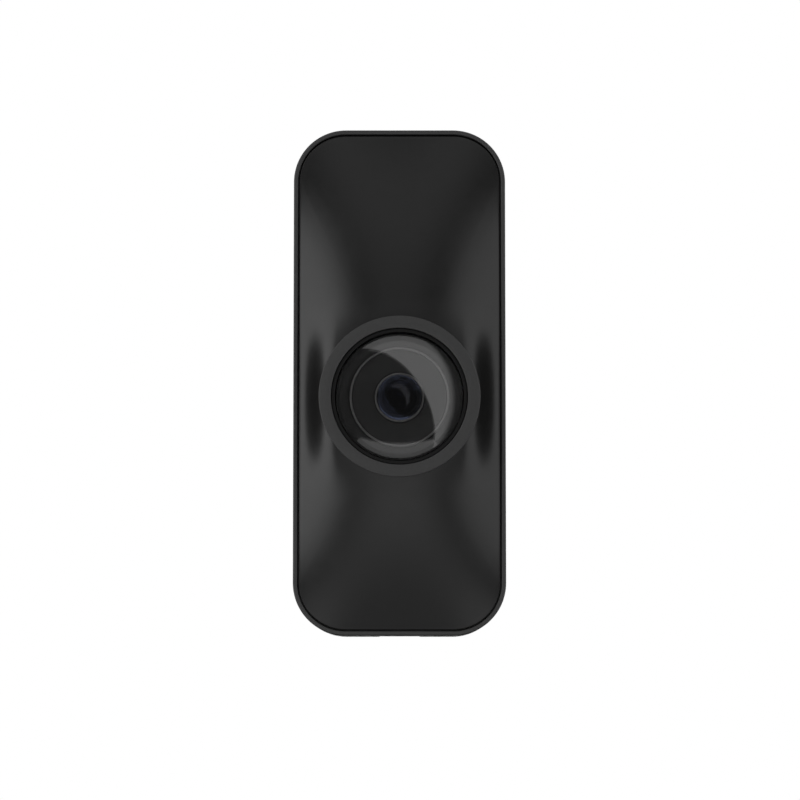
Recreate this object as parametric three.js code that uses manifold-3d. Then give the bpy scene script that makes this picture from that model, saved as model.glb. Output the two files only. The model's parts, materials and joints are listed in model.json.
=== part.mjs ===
// A slim video doorbell: a wall plate, a housing that hangs on its hooks, a sculpted front shell that
// flares up into a round barrel, and a domed camera inside a ring-shaped push button.
//
// Every part is modelled in a front view frame, in millimetres: x to the right, y up and z out of the
// wall towards the visitor, with z = 0 on the wall and y = 0 halfway up the body. The exported group
// turns that frame upright, so that the result has +Z up and its front faces -Y.

import * as THREE from "three";
import { mergeVertices } from "three/addons/utils/BufferGeometryUtils.js";
import Module from "manifold-3d";

const wasm = await Module();
wasm.setup();

// ---------------------------------------------------------------- driving dimensions

const HALF_WIDTH = 25.1;
const HALF_HEIGHT = 60;
const CORNER_RADIUS = 12.4;
const LENS_HEIGHT = -4.4; // the camera's axis, below the middle of the body

const SKIRT_BACK = 0.4; // the housing stops this far from the wall
const BODY_FRONT = 22; // the rim round the front shell
const WALL = 2.2;
const RIM = 1; // the part of the wall that shows round the front shell
const RIM_GAP = 0.4;
const FLOOR_BACK = 3.2;
const FLOOR_FRONT = 4.8;
const SHELL_LEDGE = 19; // where the front shell rests inside the rim

const BARREL_RADIUS = 18.7; // the top of the flare
const BARREL_BORE = 17.7;
const FLARE_BASE = 21.6;
const BARREL_FRONT = 30.4;
const SHELL_BACK = 19.6;
const SHELL_INNER_FRONT = 28; // the top of the flare on its inner side
const SHELL_THICKNESS = 1.5;
// The shoulders beside the barrel: where they start and end across the shell, and how far they run
// up and down it.
const SHOULDER = { outer: 23.5, inner: 14, reach: 24 };

const RING_RADIUS = 18.9;
const RING_BORE = 16;
const RING_FRONT = 31.9;
const RING_BACK = 30.9;
const RING_FOOT = 20.5; // where the ring's feet end, on the switches' membrane
const SWITCH_CIRCLE = 18;
const SWITCH_COUNT = 3;

const DOME_RADIUS = 30; // of curvature
const DOME_THICKNESS = 1.2;
const DOME_EDGE_RADIUS = 14.9;
const DOME_RIM_INNER = 13.9;
const DOME_EDGE_FRONT = 30.5;
const DOME_EDGE_BACK = 28.15;
const HOUSING_RADIUS = 15.5; // the fixed tube that holds the dome
const HOUSING_BORE = 13.6;

const PLATE_THICKNESS = 2.8;
const PLATE_TOP = 57.3;
const PLATE_BOTTOM = -53.4;
const PLATE_HALF_WIDTH = 22.4;
const WIRE_OPENING = { y: -16, halfWidth: 11, halfHeight: 9 }; // with the terminals in line
const UPPER_SLOT_Y = 43;
const LOWER_SLOT_Y = -40;
const HOOK_X = 13;
const HOOK_FEET = [30, -36]; // the height of each pair of hooks

const BOARD_BACK = 8;
const BOARD_FRONT = 9.2;
const FOOT = { halfWidth: 4.3, bottom: -59.4, top: -56.2, front: 8 };
const SCREW_AXIS_Z = 5.3; // the security screw, up through the plate's foot
const CASE_SCREW = { x: 17.5, y: 50 };
const CORNERS = [
  [1, 1],
  [-1, 1],
  [-1, -1],
  [1, -1],
];
const CAMERA_POST = 13; // each way from the camera's axis
const TERMINAL_X = 5;
const POCKET_DEPTH = 6.2; // the hooks and the terminal screws reach this far
const MICROPHONE = { x: 10.5, z: 10.8 };

const USB = { y: -30, z: 11 }; // the charging socket's centre, on the right-hand side
const COVER = { back: 24.15 }; // the charging cover's flap, in a recess of the right-hand wall
const SETUP = { y: -30, z: 11 }; // the setup button's centre, on the left-hand side

const FINE = 32; // segments in a turned part that shows
const COARSE = 12; // segments in a small or hidden one

// ---------------------------------------------------------------- materials

function material(color, roughness, metalness = 0, opacity = 1) {
  return new THREE.MeshStandardMaterial({
    color,
    roughness,
    metalness,
    opacity,
    transparent: opacity < 1,
  });
}

const GREY_PLASTIC = material(0x3e3e3e, 0.55);
const BLACK_PLASTIC = material(0x1b1b1b, 0.42);
const BLACK_MATT = material(0x0c0c0c, 0.8);
const RUBBER = material(0x161616, 0.9);
const SMOKED_GLASS = material(0x202020, 0.05, 0, 0.35);
const LENS_GLASS = material(0x2a2f36, 0.03, 0, 0.5);
const BOARD_GREEN = material(0x16402c, 0.5);
const CHIP_BLACK = material(0x101114, 0.45);
const STEEL = material(0xa9abad, 0.32, 1);
const BRASS = material(0xb8914a, 0.35, 1);
const BATTERY_FOIL = material(0x9a9da2, 0.4, 0.7);
const FOAM = material(0x242424, 0.95);
const POLYIMIDE = material(0xa8661c, 0.4);

// ---------------------------------------------------------------- solids

function toManifold(geometry) {
  const bare = geometry.clone();
  bare.deleteAttribute("normal");
  bare.deleteAttribute("uv");
  const merged = mergeVertices(bare, 1e-4);
  return new wasm.Manifold(
    new wasm.Mesh({
      numProp: 3,
      vertProperties: merged.attributes.position.array,
      triVerts: new Uint32Array(merged.index.array),
    }),
  );
}

function toGeometry(manifold) {
  const { vertProperties, triVerts } = manifold.getMesh();
  const geometry = new THREE.BufferGeometry();
  geometry.setAttribute("position", new THREE.BufferAttribute(vertProperties, 3));
  geometry.setIndex(new THREE.BufferAttribute(triVerts, 1));
  geometry.computeVertexNormals();
  return geometry;
}

function join(...geometries) {
  return toGeometry(geometries.map(toManifold).reduce((a, b) => a.add(b)));
}

function cut(geometry, ...tools) {
  return toGeometry([geometry, ...tools].map(toManifold).reduce((a, b) => a.subtract(b)));
}

function part(name, geometry, itsMaterial) {
  const mesh = new THREE.Mesh(geometry, itsMaterial);
  mesh.name = name;
  return mesh;
}

function box([x0, x1], [y0, y1], [z0, z1]) {
  const geometry = new THREE.BoxGeometry(x1 - x0, y1 - y0, z1 - z0);
  return geometry.translate((x0 + x1) / 2, (y0 + y1) / 2, (z0 + z1) / 2);
}

function roundedRectangle(halfWidth, halfHeight, radius) {
  const shape = new THREE.Shape();
  const x = halfWidth - radius;
  const y = halfHeight - radius;
  shape.absarc(x, y, radius, 0, Math.PI / 2);
  shape.absarc(-x, y, radius, Math.PI / 2, Math.PI);
  shape.absarc(-x, -y, radius, Math.PI, Math.PI * 1.5);
  shape.absarc(x, -y, radius, Math.PI * 1.5, Math.PI * 2);
  return shape;
}

// A flat shape in the front view, given thickness from z0 to z1.
function slab(shape, z0, z1, curveSegments = 8) {
  const options = { depth: z1 - z0, bevelEnabled: false, curveSegments };
  return new THREE.ExtrudeGeometry(shape, options).translate(0, 0, z0);
}

// The body's own outline, moved in by inset, from z0 to z1.
function bodySlab(inset, z0, z1) {
  const outline = roundedRectangle(HALF_WIDTH - inset, HALF_HEIGHT - inset, CORNER_RADIUS - inset);
  return slab(outline, z0, z1, 6);
}

// A round bar along z, y or x.
function bar(radius, z0, z1, segments = COARSE) {
  const geometry = new THREE.CylinderGeometry(radius, radius, z1 - z0, segments);
  return geometry.rotateX(Math.PI / 2).translate(0, 0, (z0 + z1) / 2);
}

function barAlongY(radius, y0, y1, segments = COARSE) {
  return new THREE.CylinderGeometry(radius, radius, y1 - y0, segments).translate(0, (y0 + y1) / 2, 0);
}

function barAlongX(radius, x0, x1, segments = COARSE) {
  const geometry = new THREE.CylinderGeometry(radius, radius, x1 - x0, segments);
  return geometry.rotateZ(Math.PI / 2).translate((x0 + x1) / 2, 0, 0);
}

// A part turned about z, from the closed outline of its section as [radius, z] points.
function turned(section, segments = FINE) {
  const outline = section.map(([radius, z]) => new THREE.Vector2(radius, z));
  if (THREE.ShapeUtils.area(outline) < 0) outline.reverse();
  outline.push(outline[0].clone());
  return new THREE.LatheGeometry(outline, segments).rotateX(Math.PI / 2);
}

// Points of an arc in a section: a sphere of the given radius and centre height, between two radii.
function arcPoints(radius, centreZ, fromR, toR, steps) {
  const from = Math.asin(fromR / radius);
  const to = Math.asin(toR / radius);
  return Array.from({ length: steps + 1 }, (_, i) => {
    const angle = from + ((to - from) * i) / steps;
    return [radius * Math.sin(angle), centreZ + radius * Math.cos(angle)];
  });
}

// ---------------------------------------------------------------- wall plate and its screw

const HOOK = { halfWidth: 2.5, stem: 2.4, height: 5.4, lipBack: 5 };

function hook(x, foot) {
  const width = [x - HOOK.halfWidth, x + HOOK.halfWidth];
  const stem = box(width, [foot, foot + HOOK.stem], [PLATE_THICKNESS - 0.5, POCKET_DEPTH]);
  const lip = box(width, [foot, foot + HOOK.height], [HOOK.lipBack, POCKET_DEPTH]);
  return join(stem, lip);
}

// A slot for a wall screw, stepped so that the screw's head lies under the plate's front face.
const SLOT = { halfLength: 4.5, radius: 2.4, headRadius: 4.3, headBack: 1.3 };

function screwSlot(y) {
  const stadium = (radius, z0, z1) => {
    const shape = roundedRectangle(SLOT.halfLength - SLOT.radius + radius, radius, radius - 0.05);
    return slab(shape, z0, z1, 4);
  };
  const shank = stadium(SLOT.radius, -1, PLATE_THICKNESS);
  const head = stadium(SLOT.headRadius, SLOT.headBack, PLATE_THICKNESS + 1);
  return join(shank, head).rotateZ(Math.PI / 2).translate(0, y, 0);
}

const SECURITY = { radius: 1.35, headRadius: 2.2, headBottom: -59.3, headTop: -58.2, tip: -48 };

// The foot stands out under the plate, in a notch in the housing's bottom edge.
function plateFoot() {
  const { halfWidth, bottom, top, front } = FOOT;
  const tongue = box([-halfWidth, halfWidth], [bottom, PLATE_BOTTOM + 1], [0, PLATE_THICKNESS]);
  const shelf = box([-halfWidth, halfWidth], [bottom, top], [0, front]);
  const hole = barAlongY(SECURITY.radius + 0.25, bottom - 1, top + 1);
  const headRecess = barAlongY(SECURITY.headRadius + 0.2, bottom - 1, SECURITY.headTop + 0.2);
  const onAxis = (tool) => tool.translate(0, 0, SCREW_AXIS_Z);
  return cut(join(tongue, shelf), onAxis(hole), onAxis(headRecess));
}

function wallPlate() {
  const height = PLATE_TOP - PLATE_BOTTOM;
  const middle = (PLATE_TOP + PLATE_BOTTOM) / 2;
  const outline = roundedRectangle(PLATE_HALF_WIDTH, height / 2, CORNER_RADIUS - WALL - 0.5);
  const sheet = slab(outline, 0, PLATE_THICKNESS, 6).translate(0, middle, 0);
  const { y: openingY, halfWidth, halfHeight } = WIRE_OPENING;
  const wireOpening = slab(roundedRectangle(halfWidth, halfHeight, 2), -1, PLATE_THICKNESS + 1, 3);
  const hooks = HOOK_FEET.flatMap((y) => [hook(-HOOK_X, y), hook(HOOK_X, y)]);
  return cut(
    join(sheet, plateFoot(), ...hooks),
    wireOpening.translate(0, openingY, 0),
    screwSlot(UPPER_SLOT_Y),
    screwSlot(LOWER_SLOT_Y),
  );
}

// The security screw runs up through the plate's foot into the housing, so the unit can't lift.
function securityScrew() {
  const { radius, headRadius, headBottom, headTop, tip } = SECURITY;
  const head = barAlongY(headRadius, headBottom, headTop);
  const shank = barAlongY(radius, headTop - 0.3, tip);
  const socket = barAlongY(1.1, headBottom - 0.7, headBottom + 0.7, 6);
  return cut(join(head, shank), socket).translate(0, 0, SCREW_AXIS_Z);
}

// ---------------------------------------------------------------- rear housing

// A pocket in the floor takes a hook. The hook's lip slides up behind the pocket's upper edge.
const POCKET = { halfWidth: 3.1, below: 4.6, edge: 2.7, above: 5.8, wall: 1 };

function hookPocketShell(x, foot) {
  const reach = POCKET.halfWidth + POCKET.wall;
  const height = [foot - POCKET.below - POCKET.wall, foot + POCKET.above + POCKET.wall];
  return box([x - reach, x + reach], height, [FLOOR_FRONT - 0.3, POCKET_DEPTH + 0.3 + POCKET.wall]);
}

function hookPocketSpace(x, foot) {
  const width = [x - POCKET.halfWidth, x + POCKET.halfWidth];
  const front = POCKET_DEPTH + 0.3;
  const window = box(width, [foot - POCKET.below, foot + POCKET.edge], [FLOOR_BACK - 0.5, front]);
  const undercut = box(width, [foot + POCKET.edge - 0.1, foot + POCKET.above], [FLOOR_FRONT, front]);
  return join(window, undercut);
}

function onCaseScrews(make) {
  return CORNERS.map(([sx, sy]) => make().translate(sx * CASE_SCREW.x, sy * CASE_SCREW.y, 0));
}

function onCameraPosts(make) {
  return CORNERS.map(([sx, sy]) => make().translate(sx * CAMERA_POST, LENS_HEIGHT + sy * CAMERA_POST, 0));
}

function speakerSlots() {
  const pitch = 3;
  const halfWidth = 0.6;
  const height = [-HALF_HEIGHT - 1, -HALF_HEIGHT + WALL + 0.5];
  return [-3, -2, -1, 0, 1, 2, 3].map((i) =>
    box([i * pitch - halfWidth, i * pitch + halfWidth], height, [12.5, 17.5]),
  );
}

function footNotch() {
  const { halfWidth, top, front } = FOOT;
  return box([-halfWidth - 0.5, halfWidth + 0.5], [-HALF_HEIGHT - 1, top + 0.3], [0, front + 0.6]);
}

function rearHousing() {
  const hookPlaces = HOOK_FEET.flatMap((y) => [
    [-HOOK_X, y],
    [HOOK_X, y],
  ]);
  const terminals = WIRE_OPENING.y;
  const screwBossBottom = -58.2;
  const screwBossTop = -46.4;
  const bossFront = 9.6;
  const shell = cut(
    bodySlab(0, SKIRT_BACK, BODY_FRONT),
    bodySlab(WALL, SKIRT_BACK - 1, FLOOR_BACK),
    bodySlab(WALL, FLOOR_FRONT, SHELL_LEDGE + 0.1),
    bodySlab(RIM, SHELL_LEDGE, BODY_FRONT + 1),
  );
  const filled = join(
    shell,
    ...hookPlaces.map(([x, y]) => hookPocketShell(x, y)),
    ...onCaseScrews(() => bar(3.2, FLOOR_FRONT - 0.3, bossFront)),
    ...onCameraPosts(() => bar(1.8, FLOOR_FRONT - 0.3, 14.7)),
    box([-11.5, 11.5], [terminals - 7, terminals + 7], [FLOOR_FRONT - 0.3, 7.2]),
    box([-5.8, 5.8], [screwBossBottom, screwBossTop], [FLOOR_FRONT - 0.3, bossFront]),
  );
  return cut(
    filled,
    ...hookPlaces.map(([x, y]) => hookPocketSpace(x, y)),
    ...onCaseScrews(() => bar(2.2, FLOOR_BACK - 1, 5.2)),
    ...onCaseScrews(() => bar(1.3, 5, 10)),
    box([-10.5, 10.5], [terminals - 6, terminals + 6], [FLOOR_BACK - 1, POCKET_DEPTH]),
    bar(1.45, 6, 8).translate(-TERMINAL_X, terminals, 0),
    bar(1.45, 6, 8).translate(TERMINAL_X, terminals, 0),
    footNotch(),
    barAlongY(SECURITY.radius + 0.15, FOOT.top, screwBossTop - 0.6).translate(0, 0, SCREW_AXIS_Z),
    barAlongY(0.6, -HALF_HEIGHT - 1, -57).translate(MICROPHONE.x, 0, MICROPHONE.z),
    ...speakerSlots(),
    box([22, 26], [USB.y - 4.9, USB.y + 4.9], [USB.z - 2, USB.z + 2]),
    box([COVER.back - 0.15, 26], [USB.y - 6.8, USB.y + 6.8], [USB.z - 3.8, USB.z + 3.8]),
    box([-26, -22], [SETUP.y - 3.2, SETUP.y + 3.2], [SETUP.z - 1.5, SETUP.z + 1.5]),
  );
}

function caseScrew() {
  const head = bar(2, 3.4, 5);
  const shank = bar(1.1, 4.9, 16);
  const socket = bar(0.9, 3.3, 4.3, 6);
  return cut(join(head, shank), socket);
}

function perimeterSeal() {
  return cut(bodySlab(1.5, 19.1, 19.5), bodySlab(2.1, 19, 19.6));
}

function terminalScrew() {
  const head = bar(2.6, 3.9, 5.3);
  const shank = bar(1.25, 5.2, 7.9);
  const slot = box([-3, 3], [-0.4, 0.4], [3.8, 4.5]);
  return cut(join(head, shank), slot);
}

function terminalWasher() {
  return cut(box([-3.4, 3.4], [-3.4, 3.4], [5.4, 6]), bar(1.45, 5, 7));
}

// ---------------------------------------------------------------- front shell

// Directions from the camera's axis to the body's outline, moved in by inset. Each side is stepped
// evenly by angle, each corner by its own arc, and the ends evenly by width, so that loops of
// different insets match point for point.
function outlinePoints(inset) {
  const sideSteps = 8;
  const cornerSteps = 5;
  const endSteps = 4;
  const halfWidth = HALF_WIDTH - inset;
  const radius = CORNER_RADIUS - inset;
  const x = halfWidth - radius;
  const top = HALF_HEIGHT - CORNER_RADIUS - LENS_HEIGHT;
  const bottom = -HALF_HEIGHT + CORNER_RADIUS - LENS_HEIGHT;
  const points = [];
  const corner = (cx, cy, start) => {
    for (let i = 0; i < cornerSteps; i++) {
      const angle = start + ((Math.PI / 2) * i) / cornerSteps;
      points.push([cx + radius * Math.cos(angle), cy + radius * Math.sin(angle)]);
    }
  };
  const side = (sx, fromY, toY) => {
    const from = Math.atan2(fromY, HALF_WIDTH);
    const to = Math.atan2(toY, HALF_WIDTH);
    for (let i = 0; i < sideSteps; i++) {
      points.push([sx * halfWidth, HALF_WIDTH * Math.tan(from + ((to - from) * i) / sideSteps)]);
    }
  };
  const end = (y, fromX, toX) => {
    for (let i = 0; i < endSteps; i++) points.push([fromX + ((toX - fromX) * i) / endSteps, y]);
  };
  side(1, bottom, top);
  corner(x, top, 0);
  end(top + radius, x, -x);
  corner(-x, top, Math.PI / 2);
  side(-1, top, bottom);
  corner(-x, bottom, Math.PI);
  end(bottom - radius, -x, x);
  corner(x, bottom, Math.PI * 1.5);
  return points;
}

// The front shell's rise at a point about the camera's axis, from 0 at its edge to 1 at the barrel's
// top: a crown, parabolic across and along, with a steep shoulder on either side of the barrel.
function rise(x, y) {
  const across = x / (HALF_WIDTH - RIM - RIM_GAP);
  const along = y / (HALF_HEIGHT - RIM - RIM_GAP - Math.sign(y) * LENS_HEIGHT);
  const crown = Math.max(0, (1 - across ** 2) * (1 - along ** 2));
  const t = THREE.MathUtils.smootherstep(SHOULDER.outer - Math.abs(x), 0, SHOULDER.outer - SHOULDER.inner);
  const shoulder = t * Math.max(0, 1 - (y / SHOULDER.reach) ** 2) ** 2;
  return crown + (1 - crown) * shoulder;
}

// One flat loop of the front shell, a share of the way from a circle round the camera's axis out to
// the outline, along the ray through each outline point.
function shellLoop(circleRadius, inset, share) {
  return outlinePoints(inset).map(([px, py]) => {
    const length = Math.hypot(px, py);
    const reach = circleRadius + (length - circleRadius) * share;
    return [(px / length) * reach, (py / length) * reach];
  });
}

function level(loop, z) {
  return loop.map(([x, y]) => new THREE.Vector3(x, y, z));
}

// Lifts a loop from base towards top by the shell's rise at each point of another loop over it.
function crowned(loop, over, base, top) {
  return loop.map(([x, y], i) => new THREE.Vector3(x, y, base + (top - base) * rise(...over[i])));
}

// A closed ring of material through the given loops, as a turned body whose points are moved onto them.
function loft(loops) {
  const closed = [...loops, loops[0]];
  const count = loops[0].length;
  const section = closed.map((_, j) => new THREE.Vector2(1, j));
  const geometry = new THREE.LatheGeometry(section, count);
  const position = geometry.attributes.position;
  for (let i = 0; i <= count; i++) {
    closed.forEach((loop, j) => {
      const { x, y, z } = loop[i % count];
      position.setXYZ(i * closed.length + j, x, y, z);
    });
  }
  return geometry;
}

function frontShell() {
  const steps = 7;
  const innerSteps = 4;
  const edge = RIM + RIM_GAP;
  const outside = (share) => shellLoop(BARREL_RADIUS, edge, share);
  const inside = (share) => shellLoop(BARREL_BORE, edge + SHELL_THICKNESS, share);
  const outer = Array.from({ length: steps + 1 }, (_, i) => {
    const loop = outside(1 - i / steps);
    return crowned(loop, loop, FLARE_BASE, BARREL_FRONT);
  });
  const inner = Array.from({ length: innerSteps + 1 }, (_, i) => {
    const share = i / innerSteps;
    return crowned(inside(share), outside(share), SHELL_BACK, SHELL_INNER_FRONT);
  });
  const barrel = [level(outside(0), BARREL_FRONT), level(inside(0), BARREL_FRONT)];
  const flange = level(outside(1), SHELL_BACK);
  const flare = loft([...outer, ...barrel, ...inner, flange]).translate(0, LENS_HEIGHT, 0);
  const posts = onCaseScrews(() => bar(2.6, 10, 20.6));
  const bores = onCaseScrews(() => bar(1.2, 9, 17));
  return cut(join(flare, ...posts), ...bores);
}

// ---------------------------------------------------------------- boards and what is on them

function mainBoard() {
  return cut(
    slab(roundedRectangle(21, 54, 9), BOARD_BACK, BOARD_FRONT, 6),
    ...onCaseScrews(() => bar(3.7, 7, 10)),
    ...onCameraPosts(() => bar(2.2, 7, 10)),
    box([-6.4, 6.4], [-55, -45.8], [7, 10]),
  );
}

function antenna() {
  const strip = box([-9, 9], [50, 53], [12, 12.4]);
  const feed = box([-9, -8.2], [50, 53], [9.3, 12.2]);
  const ground = box([-5, -4.2], [50, 53], [9.3, 12.2]);
  return join(strip, feed, ground);
}

function usbSocket() {
  const { y, z } = USB;
  const shell = box([15.5, 22.6], [y - 4.5, y + 4.5], [z - 1.6, z + 1.6]);
  const mouth = box([17, 23], [y - 4.15, y + 4.15], [z - 1.25, z + 1.25]);
  const tongue = box([16, 21.8], [y - 3.3, y + 3.3], [z - 0.35, z + 0.35]);
  return join(cut(shell, mouth), tongue);
}

function usbCover() {
  const { y, z } = USB;
  const face = box([COVER.back, HALF_WIDTH], [y - 6.5, y + 6.5], [z - 3.5, z + 3.5]);
  const plug = box([22.9, COVER.back + 0.35], [y - 4.1, y + 4.1], [z - 1.2, z + 1.2]);
  return join(face, plug);
}

function setupButton() {
  const { y, z } = SETUP;
  const cap = box([-25, -22.4], [y - 3, y + 3], [z - 1.3, z + 1.3]);
  const flange = box([-22.7, -21.9], [y - 4, y + 4], [z - 1.5, z + 2.2]);
  return join(cap, flange);
}

function setupSwitch() {
  const { y, z } = SETUP;
  const body = box([-20.6, -16.5], [y - 3, y + 3], [9.3, 12.7]);
  return cut(body, barAlongX(1, -21, -19.2).translate(0, y, z));
}

function setupPlunger() {
  return barAlongX(0.85, -21.8, -20).translate(0, SETUP.y, SETUP.z);
}

function microphoneBoot() {
  const block = box([8, 13], [-57.7, -54.2], [9.4, 12.4]);
  return cut(block, barAlongY(0.6, -58, -54).translate(MICROPHONE.x, 0, MICROPHONE.z));
}

// ---------------------------------------------------------------- speaker

const SPEAKER = { y: -38, back: 12.4, front: 17.6 };

function speakerBasket() {
  const { back, front } = SPEAKER;
  const cup = [
    [6.4, back],
    [10, back],
    [10, front - 1.4],
    [11, front - 1.4],
    [11, front],
    [9.8, front],
    [9.2, front - 1.2],
    [9.2, back + 0.8],
    [6.4, back + 0.8],
  ];
  return turned(cup, 24);
}

function speakerCone() {
  const cone = [
    [3.2, 15],
    [3.6, 15],
    [3.6, 16.1],
    [8.6, 16.8],
    [9, 16.6],
    [9, 17.1],
    [8.6, 17.2],
    [3.6, 16.5],
    [2, 16.9],
    [0, 17],
    [0, 16.6],
    [2, 16.4],
    [3.2, 16],
  ];
  return turned(cone, 24);
}

function speakerGasket() {
  return turned(
    [
      [9.9, 17.8],
      [11, 17.8],
      [11, 18.6],
      [9.9, 18.6],
    ],
    32,
  );
}

// ---------------------------------------------------------------- ring button

function buttonRing() {
  const skirt = 17.4;
  const section = [
    [RING_BORE, RING_FRONT - 0.15],
    [RING_BORE + 0.15, RING_FRONT],
    [RING_RADIUS - 0.2, RING_FRONT],
    [RING_RADIUS, RING_FRONT - 0.2],
    [RING_RADIUS, RING_BACK],
    [skirt, RING_BACK],
    [skirt, 24],
    [16.6, 24],
    [16.6, 29.5],
    [RING_BORE, 30.4],
  ];
  const foot = () => slab(roundedRectangle(0.7, 1.4, 0.3), RING_FOOT, 24.3, 2);
  const feet = Array.from({ length: SWITCH_COUNT }, (_, i) =>
    foot()
      .translate(17, 0, 0)
      .rotateZ(switchAngle(i)),
  );
  return join(turned(section), ...feet);
}

function switchAngle(i) {
  return Math.PI / 2 + (i * Math.PI * 2) / SWITCH_COUNT;
}

function buttonSwitch() {
  return cut(box([-2.2, 2.2], [-2.2, 2.2], [17.7, 19.3]), bar(1.05, 18, 20));
}

function buttonBoard() {
  return turned(
    [
      [15.7, 16.5],
      [20.4, 16.5],
      [20.4, 17.5],
      [15.7, 17.5],
    ],
    24,
  );
}

function buttonMembrane() {
  return turned(
    [
      [15.7, 20],
      [20, 20],
      [20, 20.4],
      [15.7, 20.4],
    ],
    24,
  );
}

// ---------------------------------------------------------------- camera

const DOME_CENTRE = DOME_EDGE_FRONT - Math.sqrt(DOME_RADIUS ** 2 - DOME_EDGE_RADIUS ** 2);

function cameraHousing() {
  const section = [
    [HOUSING_RADIUS, 12],
    [HOUSING_RADIUS, 14.8],
    [20.4, 14.8],
    [20.4, 16.3],
    [HOUSING_RADIUS, 16.3],
    [HOUSING_RADIUS, 31.2],
    [15.4, 31.3],
    [15.2, 31.1],
    [15.02, 30.4],
    [15.02, 27.6],
    [HOUSING_BORE, 27.6],
    [HOUSING_BORE, 12],
  ];
  return turned(section);
}

function domeWindow() {
  const innerRadius = DOME_RADIUS - DOME_THICKNESS;
  return turned([
    ...arcPoints(DOME_RADIUS, DOME_CENTRE, 0, DOME_EDGE_RADIUS, 6),
    [DOME_EDGE_RADIUS, DOME_EDGE_BACK],
    [DOME_RIM_INNER, DOME_EDGE_BACK],
    ...arcPoints(innerRadius, DOME_CENTRE, DOME_RIM_INNER, 0, 5),
  ]);
}

function domeSeal() {
  return turned(
    [
      [13.7, 27.65],
      [14.85, 27.65],
      [14.85, 28.05],
      [13.7, 28.05],
    ],
    24,
  );
}

// The dark dish under the dome, with a groove for its trim ring and a hole for the lens.
function lensShroud() {
  return turned([
    [13.45, 25.6],
    [13.45, 27.9],
    [11.8, 28.6],
    [11.8, 28.1],
    [11.1, 28.1],
    [11.1, 28.7],
    [5.95, 27.9],
    [5.95, 27.5],
    [7.2, 27.4],
    [12.6, 27.4],
    [12.6, 25.6],
  ]);
}

function shroudTrimRing() {
  return turned([
    [11.2, 28.2],
    [11.7, 28.2],
    [11.7, 29.1],
    [11.55, 29.25],
    [11.35, 29.25],
    [11.2, 29.1],
  ]);
}

function lensBarrel() {
  return turned(
    [
      [5.95, 14.8],
      [5.95, 21.6],
      [6.8, 22],
      [6.8, 27.2],
      [5.35, 27.2],
      [5.35, 25.3],
      [3.9, 25],
      [3.6, 18.8],
      [3.6, 16.3],
      [2.8, 16.1],
      [2.8, 14.8],
    ],
    32,
  );
}

const FRONT_ELEMENT = { radius: 5.65, edge: 5.2, apex: 31.8 };

function frontElement() {
  const { radius, edge, apex } = FRONT_ELEMENT;
  return turned([...arcPoints(radius, apex - radius, 0, edge, 5), [edge, 25.5], [0, 25.5]], 24);
}

function rearElement() {
  return turned([...arcPoints(6, 12.6, 0, 3.5, 3), [3.5, 16.5], [0, 16.5]], 24);
}

function lensRetainer() {
  return turned(
    [
      [5.3, 27.3],
      [5.78, 27.3],
      [5.78, 28.35],
      [5.6, 28.5],
      [5.3, 28.5],
    ],
    24,
  );
}

function lensHolder() {
  const base = box([-9.8, 9.8], [-5.6, 5.6], [11.6, 15]);
  const collar = bar(7.5, 14.5, 20, 32);
  return cut(
    join(base, collar),
    box([-4.6, 4.6], [-4.2, 4.2], [11, 12.7]),
    bar(2.6, 12, 15),
    box([-8.9, 8.9], [-3.6, 3.6], [13, 14]),
    bar(6.1, 14.4, 21, 32),
  );
}

const FILTER_PITCH = 5.5; // from the infra-red cut glass to the clear one

function filterCarriage() {
  const plate = box([-3, 8.5], [-3.2, 3.2], [13.2, 13.8]);
  return cut(plate, bar(2.45, 13, 14), bar(2.45, 13, 14).translate(FILTER_PITCH, 0, 0));
}

function filterGlass() {
  return bar(2.3, 13.3, 13.7);
}

function cameraRibbon() {
  const path = new THREE.Shape();
  path.moveTo(-15.6, 10.1);
  path.lineTo(-17.2, 10.1);
  path.absarc(-17.2, 9.8, 0.3, Math.PI / 2, Math.PI * 1.5, false);
  path.lineTo(-12, 9.5);
  path.lineTo(-12, 9.35);
  path.lineTo(-17.2, 9.35);
  path.absarc(-17.2, 9.8, 0.45, Math.PI * 1.5, Math.PI / 2, true);
  path.lineTo(-15.6, 10.25);
  const halfWidth = 4;
  // The section lies in y and z, and is given its width along x.
  return slab(path, -halfWidth, halfWidth, 6)
    .rotateY(Math.PI / 2)
    .rotateX(Math.PI / 2);
}

function ledBoard() {
  return turned(
    [
      [8, 22],
      [13.3, 22],
      [13.3, 22.8],
      [8, 22.8],
    ],
    24,
  );
}

function infraredLed() {
  const base = box([-1.5, 1.5], [-1.5, 1.5], [22.9, 23.7]);
  const lens = turned([...arcPoints(1.6, 23.2, 0, 1.25, 3), [1.25, 23.5], [0, 23.5]], 16);
  return join(base, lens);
}

// ---------------------------------------------------------------- assembly

function addCopies(group, count, name, place, make, itsMaterial) {
  for (let i = 0; i < count; i++) {
    const mesh = part(`${name}_${i + 1}`, make(), itsMaterial);
    place(mesh, i);
    group.add(mesh);
  }
}

function aroundAxis(radius) {
  return (mesh, i) => {
    const angle = switchAngle(i);
    mesh.position.set(radius * Math.cos(angle), radius * Math.sin(angle), 0);
    mesh.rotation.z = angle;
  };
}

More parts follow.
